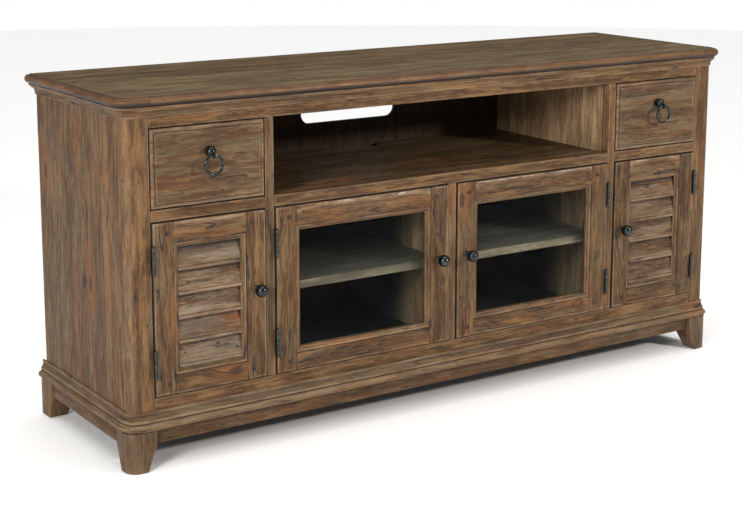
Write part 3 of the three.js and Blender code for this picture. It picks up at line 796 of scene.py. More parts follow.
def lathe(board, profile, centre, axis, segments=32, wear=0.0):
    """Turns a profile of (radius, height) about an axis through centre. A radius of 0 closes an end."""
    way = AXES[axis.strip("-")] * (-1 if axis.startswith("-") else 1)
    one = AXES["x"] if axis.strip("-") != "x" else AXES["y"]
    two = way.cross(one)
    rings = []
    for radius, height in profile:
        ring = []
        for k in range(segments):
            a = 2 * math.pi * k / segments
            out = (one * math.cos(a) + two * math.sin(a)) * max(radius, NEEDLE)
            ring.append(board.point(Vector(centre) + way * height + out, wear))
        rings.append(ring)
    board.skin(rings)


def torus(board, centre, normal, radius, wire, segments=56, sides=14):
    """A ring of round wire about an axis through centre."""
    way = AXES[normal]
    one = AXES["x"] if normal != "x" else AXES["y"]
    two = way.cross(one)
    rings = []
    for k in range(segments):
        a = 2 * math.pi * k / segments
        out = one * math.cos(a) + two * math.sin(a)
        ring = []
        for j in range(sides):
            b = 2 * math.pi * j / sides
            spot = out * (radius + wire * math.cos(b)) + way * wire * math.sin(b)
            ring.append(board.point(Vector(centre) + spot))
        rings.append(ring)
    board.skin(rings, capped=False, closed=True)


# ---------------------------------------------------------------- mouldings that wrap the console

Route = namedtuple("Route", "half front rear radius")


def along_route(route, s):
    """Place and outward direction at a distance s round the left side, the front and the right side."""
    side = route.rear - route.front - route.radius
    bend = math.pi / 2 * route.radius
    width = 2 * (route.half - route.radius)
    lengths = (side, bend, width, bend, side)
    leg = 0
    while leg < 4 and s > lengths[leg]:
        s -= lengths[leg]
        leg += 1
    inner = route.half - route.radius
    if leg == 0:
        return (-route.half, route.rear - s), (-1, 0)
    if leg == 2:
        return (-inner + s, route.front), (0, -1)
    if leg == 4:
        return (route.half, route.front + route.radius + s), (1, 0)
    turn = s / route.radius
    angle = math.pi + turn if leg == 1 else 1.5 * math.pi + turn
    centre = (-inner if leg == 1 else inner, route.front + route.radius)
    way = (math.cos(angle), math.sin(angle))
    return (centre[0] + route.radius * way[0], centre[1] + route.radius * way[1]), way


def route_legs(route):
    """Distances at which each straight and each bend of a route starts, and its end."""
    side = route.rear - route.front - route.radius
    bend = math.pi / 2 * route.radius
    width = 2 * (route.half - route.radius)
    marks = [0]
    for length in (side, bend, width, bend, side):
        marks.append(marks[-1] + length)
    return marks


def moulding(name, route, section, start, end, material, node, tone=None):
    """One length of a moulding. section is a closed list of (out, height, wear)."""
    board = Board(name, "xz", tone)
    rings = []
    for s in spread(start, end, 0.006 if end - start < 0.16 else 0.02):
        (x, y), (nx, ny) = along_route(route, s)
        ring = []
        run = 0.0
        before = section[0]
        for out, height, wear in section:
            run += math.dist((out, height), before[:2])
            before = (out, height)
            dent = wear * 0.0005 * sizes().unevenness * noise.noise(Vector((s * 30, out * 90, height * 90)))
            reach = out - abs(dent)
            ring.append(board.point((x + nx * reach, y + ny * reach, height), wear, (s, run, out)))
        rings.append(ring)
    board.skin(rings)
    return board.finish(material, "carcass", (node,), sharp=34)


BODY = box_of("corner_post_right")
BODY_CORNER = 0.018
BODY_ROUTE = Route(BODY.x1, FACE, box_of("side_panel_right").y1, BODY_CORNER)


class CONSOLE_OT_top(Operator):
    """Top of planks with a round nose in lengths round three sides"""
    bl_idname = "console.top"
    bl_label = "Top"

    NOSE_CORNER = 0.042
    BORDER = 0.0156
    BLOCK = 0.032
    REAR_BLOCK = 0.062

    def nose_wear(self, q):
        """Painted shade under the nose, and hands rub its middle. q runs from -1 below to 1 above."""
        if q < -0.5:
            return -1.0
        if q < 0:
            return 2 * q
        return 0.45 * (1 - q)

    def nose_section(self, low, high):
        """Fillet, round nose and the small step up to the field, as (out, height, wear)."""
        round_part = arc((0, 0), 1, -96, 78, 12)
        nose = [(-0.0101 + 0.0101 * p, low + 0.0151 + 0.0095 * q, self.nose_wear(q)) for p, q in round_part]
        # Negative levels paint shade into the quirk and the fillet under the nose.
        return [
            (-self.BORDER, low, -1), (-0.0094, low, -0.3), (-0.009, low + 0.0006, 0.7),
            (-0.009, low + 0.0041, 0.9), (-0.0096, low + 0.0045, 0.2), (-0.0106, low + 0.0047, -1),
            (-0.0106, low + 0.0055, -1),
            *nose,
            (-0.0121, low + 0.0246, -0.7), (-0.0125, low + 0.0248, -0.7), (-0.0127, high - 0.0004, 0.7),
            (-0.0131, high, 1.1), (-0.0140, high, 0.3), (-self.BORDER, high, 0),
        ]

    def execute(self, context):
        top = box_of("top_board")
        route = Route(top.x1, top.y0, top.y1, self.NOSE_CORNER)
        section = self.nose_section(top.z0, top.z1)
        marks = route_legs(route)
        cuts = [0, self.REAR_BLOCK, marks[1] - self.BLOCK, marks[2] + self.BLOCK,
                marks[3] - self.BLOCK, marks[4] + self.BLOCK, marks[5] - self.REAR_BLOCK, marks[5]]
        labels = ("rear_left", "left", "corner_left", "front", "corner_right", "right", "rear_right")
        moods = {"left": (-0.9, 1.4, -1.0), "corner_left": (-0.2, 1.2, -0.6), "front": (0.9, 0.2, 0.4)}
        for label, start, end in zip(labels, cuts, cuts[1:]):
            moulding(f"top_nose_{label}", route, section, start + 0.0001, end - 0.0001, nose_wood(),
                     "top_board", tone=moods.get(label))

        count = sizes().top_planks
        half = top.x1 - self.BORDER - 0.0001
        front = top.y0 + self.BORDER + 0.0001
        width = (top.y1 - front) / count
        for k in range(count):
            near = front + k * width
            board = Board(f"top_plank_{k + 1}", "xy")
            outline = rounded(-half, half, near, near + width - 0.0002, 0.0006)
            if k == 0:
                outline = self.with_round_front(outline, half, near)
            slab(board, outline, "xy", eased(top.z0, top.z1, 0.0006, knocked=0.15))
            board.finish(top_wood(), "carcass", ("top_board",))
        return {"FINISHED"}

    def with_round_front(self, outline, half, front):
        """Bends the two front corners of the first plank to follow the nose."""
        radius = self.NOSE_CORNER - self.BORDER
        inner = half - radius
        kept = [(p, q) for p, q in outline if not (abs(p) > inner and q < front + radius)]
        left = arc((-inner, front + radius), radius, 180, 270, 8)
        right = arc((inner, front + radius), radius, 270, 360, 8)
        whole = kept + left + right
        middle = (0, front + radius * 1.5)
        return sorted(whole, key=lambda spot: math.atan2(spot[1] - middle[1], (spot[0] - middle[0])))


class CONSOLE_OT_mouldings(Operator):
    """Cove under the top and the base moulding, each mitred in three lengths"""
    bl_idname = "console.mouldings"
    bl_label = "Mouldings"

    def execute(self, context):
        bed = box_of("bed_moulding")
        reach = BODY_ROUTE.half
        out = bed.x1 - reach
        cove = [(out - 0.0085 + 0.0085 * (1 - math.cos(math.radians(a))),
                 bed.z0 + 0.0036 + (bed.z1 - bed.z0 - 0.0066) * math.sin(math.radians(a)), 0.1)
                for a in range(0, 91, 15)]
        # Negative levels paint shade along the underside of the cove moulding
        bed_section = [
            (0.0003, bed.z1, 0), (0.0003, bed.z0, -0.8), (0.0022, bed.z0, -0.4),
            (0.0031, bed.z0 + 0.0006, 0.8), (0.0031, bed.z0 + 0.0030, 0.7), *cove,
            (out, bed.z1 - 0.0026, 0.9), (out, bed.z1, 0.4),
        ]
        base = box_of("base_moulding")
        low = base.z0
        middle = low + 0.0076
        nose = [(p, q, 0.25 + 0.5 * max(0, (q - middle) / 0.0076))
                for p, q in arc((0.0084, middle), 0.0076, -90, 80, 11)]
        bead = [(p, q, 0.55) for p, q in arc((0.0016, base.z1 - 0.0032), 0.0032, -50, 90, 7)]
        # Negative levels paint shade in the quirks above the nose, along the cove and where it meets the body
        base_section = [
            (0.0003, base.z1, -0.6), (0.0003, low, 0), *nose,
            (0.0079, low + 0.0168, -0.9), (0.0083, low + 0.0182, -0.9), (0.0090, low + 0.0188, 0.6),
            (0.0090, low + 0.0222, 0.9), (0.0083, low + 0.0233, 0.4), (0.0063, low + 0.0252, -0.2),
            (0.0047, low + 0.0285, -0.2), (0.0038, low + 0.0322, -0.3), (0.0034, low + 0.0334, -0.6), *bead,
        ]
        base_route = BODY_ROUTE._replace(rear=base.y1)
        for label, route, section, tone in (("bed", BODY_ROUTE, bed_section, (0.1, -0.2, 0.3)),
                                            ("base", base_route, base_section, (0.2, -0.7, 1.1))):
            marks = route_legs(route)
            cuts = (0, (marks[1] + marks[2]) / 2, (marks[3] + marks[4]) / 2, marks[5])
            for part, start, end in zip(("left", "front", "right"), cuts, cuts[1:]):
                moulding(f"{label}_moulding_{part}", route, section, start + 0.0001, end - 0.0001,
                         front_wood(), f"{label}_moulding", tone=tone)
        return {"FINISHED"}


class CONSOLE_OT_sides(Operator):
    """Side panels of three boards with V joints, and the rounded corner posts"""
    bl_idname = "console.sides"
    bl_label = "Sides and posts"

    JOINTS = (0.1145, 0.3025)
    CHAMFER = 0.0021

    def execute(self, context):
        for side in SIDES:
            sign = mirror_sign(side)
            panel = box_of(f"side_panel_{side}")
            outer = sign * BODY.x1
            inner = sign * (BODY.x1 - (panel.x1 - panel.x0))
            cuts = [panel.y0, *(FACE + joint for joint in self.JOINTS), panel.y1]
            for k, (near, far) in enumerate(zip(cuts, cuts[1:])):
                board = Board(f"side_board_{side}_{k + 1}", "zy")
                outline = rounded(near + 0.0001, far - 0.0001, panel.z0, panel.z1, 0.0005)
                slab(board, outline, "yz", eased(inner, outer, self.CHAMFER, knocked=0.55))
                board.finish(front_wood(), "carcass", (f"side_panel_{side}",))
            self.post(side, sign)
        return {"FINISHED"}

    def post(self, side, sign):
        """Outer stile of the face frame with the round corner in one piece"""
        post = box_of(f"corner_post_{side}")
        inner, outer = sorted((abs(post.x0), abs(post.x1)))
        rear_inner = outer - (box_of("side_panel_right").x1 - box_of("side_panel_right").x0) - 0.0006
        board = Board(f"post_{side}", "zx", (0.5, -0.1, 0.1))
        rings = []
        for z in spread(post.z0, post.z1, sizes().step):
            wander = noise.noise(Vector((z * 25, sign * 3, 1)))
            ease = 0.0008 * (1 + sizes().unevenness * wander)
            curve = arc((outer - BODY_CORNER, FACE + BODY_CORNER), BODY_CORNER, 270, 360, 10)
            spots = [(inner, FACE + ease, 0.8), (inner + ease, FACE, 0.8), (inner + ease + 0.003, FACE, 0.0),
                     (outer - BODY_CORNER - 0.004, FACE, 0.0)]
            spots += [(p, q, 0.60 * math.sin(math.pi * k / 10)) for k, (p, q) in enumerate(curve)]
            spots += [(rear_inner, FACE + BODY_CORNER, 0), (rear_inner, post.y1, 0), (inner, post.y1, 0)]
            rings.append([board.point((sign * p, q, z), wear) for p, q, wear in spots])
        board.skin(rings)
        board.finish(front_wood(), "carcass", (f"corner_post_{side}",))


class CONSOLE_OT_face_frame(Operator):
    """Rails and stiles of the front"""
    bl_idname = "console.face_frame"
    bl_label = "Face frame"

    def bay_edge(self, x, z):
        """Edges round the open media bay have no gap beside them"""
        bay = box_of("media_deck")
        close = 0.002
        above = z > box_of("media_rail").z1 - close
        return "open" if above and abs(x) < bay.x1 + close else None

    def jamb_edge(self, x, z):
        """Stiles get painted light where they face the bay, as pale as its sides"""
        return "pale" if self.bay_edge(x, z) else None

    def execute(self, context):
        names = ["top_rail", "bottom_rail", "media_rail", "centre_stile", "inner_stile_left",
                 "inner_stile_right"]
        for name in names:
            b = box_of(name)
            grain = "xz" if name.endswith("rail") else "zx"
            edge = self.jamb_edge if name.startswith("inner_stile") else self.bay_edge
            plank(f"{name}_board", (b.x0, b.x1, b.z0, b.z1), grain, b.y0, b.y1, "xz", front_wood(), "carcass",
                  (name,), ease=0.0009, knocked=0.8, edge=edge)
        return {"FINISHED"}


class CONSOLE_OT_inside(Operator):
    """Decks, partitions, shelves and the bottom of the cabinet"""
    bl_idname = "console.inside"
    bl_label = "Inside"

    NOTCH_FRONT, NOTCH_REAR, NOTCH_DEPTH = 0.060, 0.086, 0.040
    GUIDE_GAP = 0.0015
    EDGE_STRIP = 0.006

    def execute(self, context):
        deck = box_of("media_deck")
        board = Board("media_deck_board", "xy", (0.6, 0.2, 0.2))
        rear = deck.y1
        outline = [(p, q) for p, q in rounded(deck.x0, deck.x1, deck.y0, rear, 0.0005)
                   if not (abs(p) < self.NOTCH_REAR + 0.004 and q > rear - 0.01)]
        notch = [(self.NOTCH_REAR, rear), (self.NOTCH_FRONT, rear - self.NOTCH_DEPTH),
                 (-self.NOTCH_FRONT, rear - self.NOTCH_DEPTH), (-self.NOTCH_REAR, rear)]
        start = next(k for k, (p, q) in enumerate(outline) if q > rear - 0.001 and p < 0)
        outline = outline[:start] + notch + outline[start:]
        slab(board, outline, "xy", eased(deck.z0, deck.z1, 0.0006, knocked=0.5))
        # The deck's darker wood is painted shade inside the bay
        board.finish(deck_wood_painted_shade(), "carcass", ("media_deck",))

        floor = box_of("bottom_panel")
        plank("bottom_board", (floor.x0, floor.x1, floor.y0, floor.y1), "xy", floor.z1, floor.z0, "xy",
              lower_floor_wood(), "carcass", ("bottom_panel",), slot="wood_interior")
        for name in ("partition_left", "partition_right", "centre_partition"):
            b = box_of(name)
            # Below the deck the partitions take painted shade towards the back; above it the bay's walls take
            # painted light
            middle = min(b.z1, deck.z0 + 0.009)
            boards = [("lower", (b.y0, b.y1, b.z0, middle), partition_wood())]
            if b.z1 > middle:
                boards.append(("upper", (b.y0, b.y1, middle, b.z1), bay_wood_painted_light()))
            for label, outline, material in boards:
                plank(f"{name}_{label}", outline, "zy", b.x0, b.x1, "yz", material, "carcass", (name,),
                      both=True, ease=0.0004, knocked=0.0, slot="wood_interior")
        for side in SIDES:
            self.drawer_deck(side)
            for kind in ("centre_shelf", "side_shelf"):
                self.shelf(kind, side)
        return {"FINISHED"}

    def drawer_deck(self, side):
        """Rail under the drawer, the dust panel behind it and two guides"""
        node = f"drawer_deck_{side}"
        deck = box_of(node)
        stile = box_of(f"inner_stile_{side}")
        post = box_of(f"corner_post_{side}")
        sign = mirror_sign(side)
        near = sign * (max(abs(stile.x0), abs(stile.x1)) + 0.0003)
        far = sign * (min(abs(post.x0), abs(post.x1)) - 0.0003)
        top = box_of("media_rail").z1
        low = box_of("media_rail").z0
        plank(f"drawer_rail_{side}", (near, far, low, top), "xz", deck.y0, deck.y0 + 0.022, "xz",
              front_wood(), "carcass", (node,), ease=0.0009, knocked=0.8)
        # The dust panel takes the dark inner wood: painted shade
        plank(f"dust_panel_{side}", (deck.x0, deck.x1, deck.y0 + 0.0223, deck.y1), "xy", top - 0.0005,
              top - 0.0185, "xy", inner_wood_painted_shade(), "carcass", (node,), slot="wood_interior")
        deck_inner, deck_outer = sorted((abs(deck.x0), abs(deck.x1)))
        drawer = box_of(f"drawer_box_{side}")
        drawer_inner, drawer_outer = sorted((abs(drawer.x0), abs(drawer.x1)))
        guides = (("inner", deck_inner, drawer_inner - self.GUIDE_GAP),
                  ("outer", drawer_outer + self.GUIDE_GAP, deck_outer))
        for label, start, end in guides:
            outline = (sign * start, sign * end, deck.y0 + 0.0226, deck.y1)
            plank(f"drawer_guide_{label}_{side}", outline, "yx", top - 0.0004, deck.z1, "xy",
                  drawer_wood(), "carcass", (node,), slot="wood_drawer")

    def shelf(self, kind, side):
        """A loose shelf with a paler strip along its front"""
        node = f"{kind}_{side}"
        b = box_of(node)
        edge = b.y0 + self.EDGE_STRIP
        plank(f"{node}_board", (b.x0, b.x1, edge + 0.0001, b.y1), "xy", b.z0, b.z1, "xy", shelf_wood(),
              "carcass", (node,), both=True, knocked=0.3, slot="wood_interior")
        plank(f"{node}_edge", (b.x0, b.x1, b.z0, b.z1), "xz", edge, b.y0, "xz", shelf_edge_wood(),
              "carcass", (node,), ease=0.001, knocked=0.5)


class CONSOLE_OT_back(Operator):
    """Back panel in two halves round a long cable slot, held by screws"""
    bl_idname = "console.back"
    bl_label = "Back"

    SLOT_HALF, SLOT_RADIUS, SLOT_HEIGHT = 0.138, 0.024, 0.639
    SCREW_INSET = 0.012

    def execute(self, context):
        b = box_of("back_panel")
        reach = self.SLOT_HALF - self.SLOT_RADIUS
        for side in SIDES:
            sign = mirror_sign(side)
            round_end = arc((reach, self.SLOT_HEIGHT), self.SLOT_RADIUS, 90, -90, 14)
            half = [(0.0001, b.z0), (b.x1, b.z0), (b.x1, b.z1), (0.0001, b.z1),
                    (0.0001, self.SLOT_HEIGHT + self.SLOT_RADIUS), *round_end,
                    (0.0001, self.SLOT_HEIGHT - self.SLOT_RADIUS)]
            outline = [(sign * x, z) for x, z in half]
            if sign < 0:
                outline.reverse()
            board = Board(f"back_{side}", "zx", (0.2, 0, 0))
            edge = 0.0004
            slab(board, outline, "xz", [(edge, b.y0, 0.2), (0, b.y0 + edge, 0.2), (0, b.y1 - edge, 0.4),
                                        (edge, b.y1, 0.4)])
            # The back's dark wood is painted shade
            board.finish(back_wood(), "carcass", ("back_panel",))
        self.screws(b)
        return {"FINISHED"}

    def screws(self, b):
        """Domed screw heads round the panel, with a round recess in the middle"""
        heads = Board("back_screws", "xz")
        across = spread(b.x0 + self.SCREW_INSET, b.x1 - self.SCREW_INSET, 0.2)
        upward = spread(b.z0 + self.SCREW_INSET, b.z1 - self.SCREW_INSET, 0.16)
        places = [(x, z) for x in across for z in (upward[0], upward[-1])]
        places += [(x, z) for z in upward[1:-1] for x in (across[0], across[-1])]
        for x, z in places:
            profile = [(0, -0.0008), (0.0035, -0.0008), (0.0035, 0.0004), (0.0030, 0.0011), (0.0016, 0.0015),
                       (0.0012, 0.0007), (0, 0.0007)]
            lathe(heads, profile, (x, b.y1, z), "y", 16)
        heads.finish(iron(), "carcass")


class CONSOLE_OT_feet(Operator):
    """Tapered feet and the aprons between them"""
    bl_idname = "console.feet"
    bl_label = "Feet and aprons"

    SOLE = 0.043
    FRONT_ROUND = 0.027
    CHAMFER = 0.0018

    def execute(self, context):
        apron = box_of("front_apron")
        plank("apron_front", (apron.x0, apron.x1, apron.z0, apron.z1), "xz", apron.y1, apron.y0, "xz",
              foot_wood(), "carcass", ("front_apron",), knocked=0.7)
        for side in SIDES:
            sign = mirror_sign(side)
            b = box_of(f"side_apron_{side}")
            outer = b.x1 if sign > 0 else b.x0
            inner = b.x0 if sign > 0 else b.x1
            plank(f"apron_{side}", (b.y0, b.y1, b.z0, b.z1), "yz", inner, outer, "yz", foot_wood(), "carcass",
                  (f"side_apron_{side}",), knocked=0.7)
            for end in ("front", "rear"):
                self.foot(end, side, sign, apron.z0)
        return {"FINISHED"}

    def foot(self, end, side, sign, knee):
        """A foot that widens from its sole up to the knee, with a round outer edge at the front"""
        node = f"{end}_foot_{side}"
        b = box_of(node)
        outer = max(abs(b.x0), abs(b.x1))
        width = b.x1 - b.x0
        board = Board(f"foot_{end}_{side}", "zx", (-0.1, 0, 0.2))
        rings = []
        heights = [(0.0, 0.0022), (0.0016, 0.0)] + [(z, 0.0) for z in spread(0.004, b.z1, 0.012)]
        for z, pinch in heights:
            size = self.SOLE + (width - self.SOLE) * min(1, z / knee) - pinch
            c = self.CHAMFER * (1 + 0.5 * noise.noise(Vector((z * 60, sign, 5))))
            inner = outer - size
            if end == "front":
                near, far = b.y0 + pinch, b.y0 + size
                edge = self.FRONT_ROUND
                curve = arc((outer - pinch - edge, near + edge), edge, 270, 360, 9)
            else:
                near, far = b.y1 - size, b.y1
                edge = self.CHAMFER
                curve = arc((outer - pinch - edge, near + edge), edge, 270, 360, 2)
            worn = 0.9 if z < 0.01 else 0.35
            spots = [(inner, near + c, 0.8), (inner + c, near, 0.8), (inner + c + 0.003, near, worn * 0.2)]
            spots += [(p, q, worn) for p, q in curve]
            spots += [(outer - pinch, far - c, 0.6), (outer - pinch - c, far, 0.5), (inner + c, far, 0.5),
                      (inner, far - c, 0.5)]
            rings.append([board.point((sign * p, q, z), wear) for p, q, wear in spots])
        board.skin(rings)
        board.finish(foot_wood(), "carcass", (node,), sharp=30)


class CONSOLE_OT_drawers(Operator):
    """Drawer fronts with a raised field, and the boxes behind them"""
    bl_idname = "console.drawers"
    bl_label = "Drawers"

    # The sunk border of a drawer front, in millimetres: (in from the edge, down from the field, wear).
    # Negative levels are painted shade in the gap round the drawer and at the step down from the field.
    BORDER = [
        (0.0, 6.5, -1.0), (0.0, 5.0, -1.0), (0.4, 4.3, -0.8), (1.2, 3.4, 0.4), (2.6, 2.7, 1.0),
        (4.4, 2.1, 0.6),
        (7.0, 1.8, 0.2), (8.4, 1.7, -0.3), (9.0, 1.68, -0.95), (9.9, 1.4, -0.95), (10.15, 0.35, 0.4),
        (10.6, 0.0, 0.8), (11.4, 0.0, 0.4), (14.5, 0.0, 0.0),
    ]
    WALL, BOTTOM = 0.012, 0.008

    def execute(self, context):
        for side in SIDES:
            b = box_of(f"drawer_front_{side}")
            board = Board(f"drawer_face_{side}", "xz", (0.0, 0.3, 0.5))
            # Negative levels on the back and down the sides paint shade into the gap round the drawer
            levels = [(0.0004, b.y1, -0.5), (0, b.y1 - 0.0004, -1)]
            levels += [(edge / 1000, b.y0 + drop / 1000, wear) for edge, drop, wear in self.BORDER]
            slab(board, rounded(b.x0, b.x1, b.z0, b.z1, 0.0008), "xz", levels)
            board.finish(drawer_face_wood(), f"drawer_{side}", (f"drawer_front_{side}",), sharp=28)
            self.box(side)
        return {"FINISHED"}

    def box(self, side):
        """Two sides, a front and a back between them, and a bottom board"""
        node = f"drawer_box_{side}"
        b = box_of(node)
        w = self.WALL
        body = f"drawer_{side}"
        for label, x0, x1 in (("inner", b.x0, b.x0 + w), ("outer", b.x1 - w, b.x1)):
            plank(f"drawer_side_{label}_{side}", (b.y0, b.y1, b.z0, b.z1), "yz", x0, x1, "yz",
                  drawer_wood(), body, (node,), both=True, ease=0.0008, slot="wood_drawer")
        for label, y0, y1 in (("front", b.y0, b.y0 + w), ("back", b.y1 - w, b.y1)):
            outline = (b.x0 + w + 0.0001, b.x1 - w - 0.0001, b.z0 + 0.003, b.z1 - 0.004)
            plank(f"drawer_{label}_{side}", outline, "xz", y0, y1, "xz", drawer_wood(), body, (node,),
                  both=True, ease=0.0008, slot="wood_drawer")
        plank(f"drawer_bottom_{side}", (b.x0 + w, b.x1 - w, b.y0 + w, b.y1 - w), "xy", b.z0 + 0.003,
              b.z0 + self.BOTTOM, "xy", drawer_wood(), body, (node,), ease=0.0004, slot="wood_drawer")
        self.dovetails(side, b)

    def dovetails(self, side, b):
        """End grain of the pins that show on the drawer sides"""
        board = Board(f"drawer_pins_{side}", "xz", (-1.0, 0.4, 0))
        height = b.z1 - b.z0
        pins, narrow, broad = 5, 0.0032, 0.0058
        for x, out in ((b.x0, -1), (b.x1, 1)):
            for y, way in ((b.y0, 1), (b.y1, -1)):
                for k in range(pins):
                    middle = b.z0 + height * (k + 0.5) / pins
                    corners = [(y, middle - broad), (y + way * self.WALL, middle - narrow),
                               (y + way * self.WALL, middle + narrow), (y, middle + broad)]
                    board.skin([[board.point((x + out * lift, q, z)) for q, z in corners]
                                for lift in (-0.0004, 0.0001)])
        board.finish(drawer_wood(), f"drawer_{side}")


class CONSOLE_OT_pulls(Operator):
    """Ring pulls: a ball on a flange, an eye and a hanging ring"""
    bl_idname = "console.pulls"
    bl_label = "Ring pulls"

    BALL, BALL_OUT = 0.0115, 0.009

    def execute(self, context):
        for side in SIDES:
            boss = box_of(f"pull_boss_{side}")
            ring = box_of(f"pull_ring_{side}")
            x = (boss.x0 + boss.x1) / 2
            flange = boss.y1
            centre_z = boss.z1 - self.BALL
            rosette = [(0, 0.0), (0.0098, 0.0), (0.0104, 0.0005), (0.0102, 0.0011), (0.0088, 0.0016),
                       (0.0083, 0.0013)]
            ball = arc((0, self.BALL_OUT), self.BALL, -40, 90, 14)
            piece = Board(f"pull_ball_{side}")
            lathe(piece, rosette + ball, (x, flange, centre_z), "-y", 40)
            wire = (ring.y1 - ring.y0) / 2
            hang_y = (ring.y0 + ring.y1) / 2
            hang_z = ring.z1 - wire
            torus(piece, (x, hang_y, hang_z), "x", 0.0048, 0.0016, 28, 12)
            neck = [(0, 0), (0.0034, 0), (0.0026, 0.002), (0.0022, 0.0035), (0, 0.0035)]
            lathe(piece, neck, (x, hang_y + 0.0078, hang_z + 0.0006), "-y", 16)
            piece.finish(iron(), f"drawer_{side}", (f"pull_boss_{side}",), sharp=50)
            loop = Board(f"pull_loop_{side}")
            radius = (ring.x1 - ring.x0) / 2 - wire
            torus(loop, (x, hang_y, ring.z0 + wire + radius), "y", radius, wire, 72, 16)
            loop.finish(iron(), f"pull_ring_{side}", (f"pull_ring_{side}",), sharp=60)
        return {"FINISHED"}


# ---------------------------------------------------------------- doors

STICKING = 0.011
Door = namedtuple("Door", "kind side box stile top bottom")
DOOR_KINDS = {"louvre_door": (0.058, 0.056, 0.052), "glass_door": (0.061, 0.056, 0.050)}
REBATE_Y = FACE + 0.008


def door_of(kind, side):
    stile, top, bottom = DOOR_KINDS[kind]
    return Door(kind, side, box_of(f"{kind}_frame_{side}"), stile, top, bottom)


def window_of(door):
    b = door.box
    return (b.x0 + door.stile, b.x1 - door.stile, b.z0 + door.bottom, b.z1 - door.top)


def sticking_section(front, rear):
    """Moulded inner edge: (towards the window, depth, wear)."""
    # Negative levels paint shade in the quirk where the sticking meets the frame and on the rebate
    return [
        (0, rear, 0), (0, front + 0.0016, -0.9), (0.0008, front + 0.0015, -0.7),
        (0.0015, front + 0.0010, 0.7), (0.0028, front + 0.0013, 0.8), (0.0050, front + 0.0024, 0.2),
        (0.0075, front + 0.0038, 0.0),
        (0.0096, front + 0.0047, 0.1), (0.0104, front + 0.0052, 0.7), (0.0110, front + 0.0062, 0.5),
        (0.0110, REBATE_Y, -0.8), (0.0040, REBATE_Y, 0), (0.0040, rear, 0),
    ]


def mitred_strip(board, section, along, edge, inward, start, end):
    """Adds a strip with mitred ends. along is "x" or "z"; edge is its place across that."""
    across = "z" if along == "x" else "x"
    count = max(2, round((end - start) / sizes().step))
    rings = []
    for k in range(count + 1):
        ring = []
        for w, depth, wear in section:
            s = start + w + (end - start - 2 * w) * k / count
            values = {along: s, across: edge + inward * w, "y": depth}
            ring.append(board.point(Vector((values["x"], values["y"], values["z"])), wear))
        rings.append(ring)
    board.skin(rings)


def door_frame(door, moods, knocks):
    """Stiles that run the full height, rails between them, and the moulded edge on each"""
    b = door.box
    x0, x1, z0, z1 = window_of(door)
    section = sticking_section(b.y0, b.y1)
    inner_x = (x0 - STICKING, x1 + STICKING)
    inner_z = (z0 - STICKING, z1 + STICKING)
    close = 0.0015
    members = (
        ("stile_left", "z", (b.x0, inner_x[0], b.z0, b.z1), inner_x[0], 1, inner_z,
         lambda x, z: "joint" if x > inner_x[0] - close else None),
        ("stile_right", "z", (inner_x[1], b.x1, b.z0, b.z1), inner_x[1], -1, inner_z,
         lambda x, z: "joint" if x < inner_x[1] + close else None),
        ("rail_top", "x", (*inner_x, inner_z[1], b.z1), inner_z[1], -1, inner_x,
         lambda x, z: "joint" if z < b.z1 - close else None),
        ("rail_bottom", "x", (*inner_x, b.z0, inner_z[0]), inner_z[0], 1, inner_x,
         lambda x, z: "joint" if z > b.z0 + close else None),
    )
    body = f"{door.kind}_{door.side}"
    for label, along, outline, place, inward, ends, edge in members:
        board = Board(f"{door.kind}_{label}_{door.side}", "zx" if along == "z" else "xz", moods.get(label))
        gap = 0.00015
        p0, p1, q0, q1 = outline
        flat = rounded(p0 + gap, p1 - gap, q0 + gap, q1 - gap, 0.0009)
        levels = eased(b.y1, b.y0, knocked=knocks, band=0.012) if label == "rail_top" else eased(b.y1, b.y0)
        slab(board, flat, "xz", levels, edge)
        mitred_strip(board, section, along, place, inward, *ends)
        board.finish(door_wood(), body, (f"{door.kind}_frame_{door.side}",), sharp=30)


def pegs(door):
    """Heads of the pegs that pin the joints, each in its dark ring"""
    b = door.box
    radius = sizes().peg / 2
    body = f"{door.kind}_{door.side}"
    rings = Board(f"{door.kind}_peg_rings_{door.side}")
    heads = Board(f"{door.kind}_pegs_{door.side}", "yx", (-1.6, 0.8, 0))
    for x in (b.x0 + 0.0325, b.x1 - 0.0325):
        for z in (b.z0 + 0.0225, b.z1 - 0.0245):
            lathe(rings, [(0, -0.001), (radius * 1.5, -0.001), (radius * 1.48, 0.00012), (0, 0.00012)],
                  (x, b.y0, z), "-y", 20)
            dome = [(0, 0), (radius, 0), (radius * 0.97, 0.0004), (radius * 0.8, 0.0007), (0, 0.0009)]
            lathe(heads, dome, (x, b.y0, z), "-y", 20, 0.15)
    rings.finish(peg_gap_and_hole_shade(), body)
    heads.finish(peg_wood(), body)


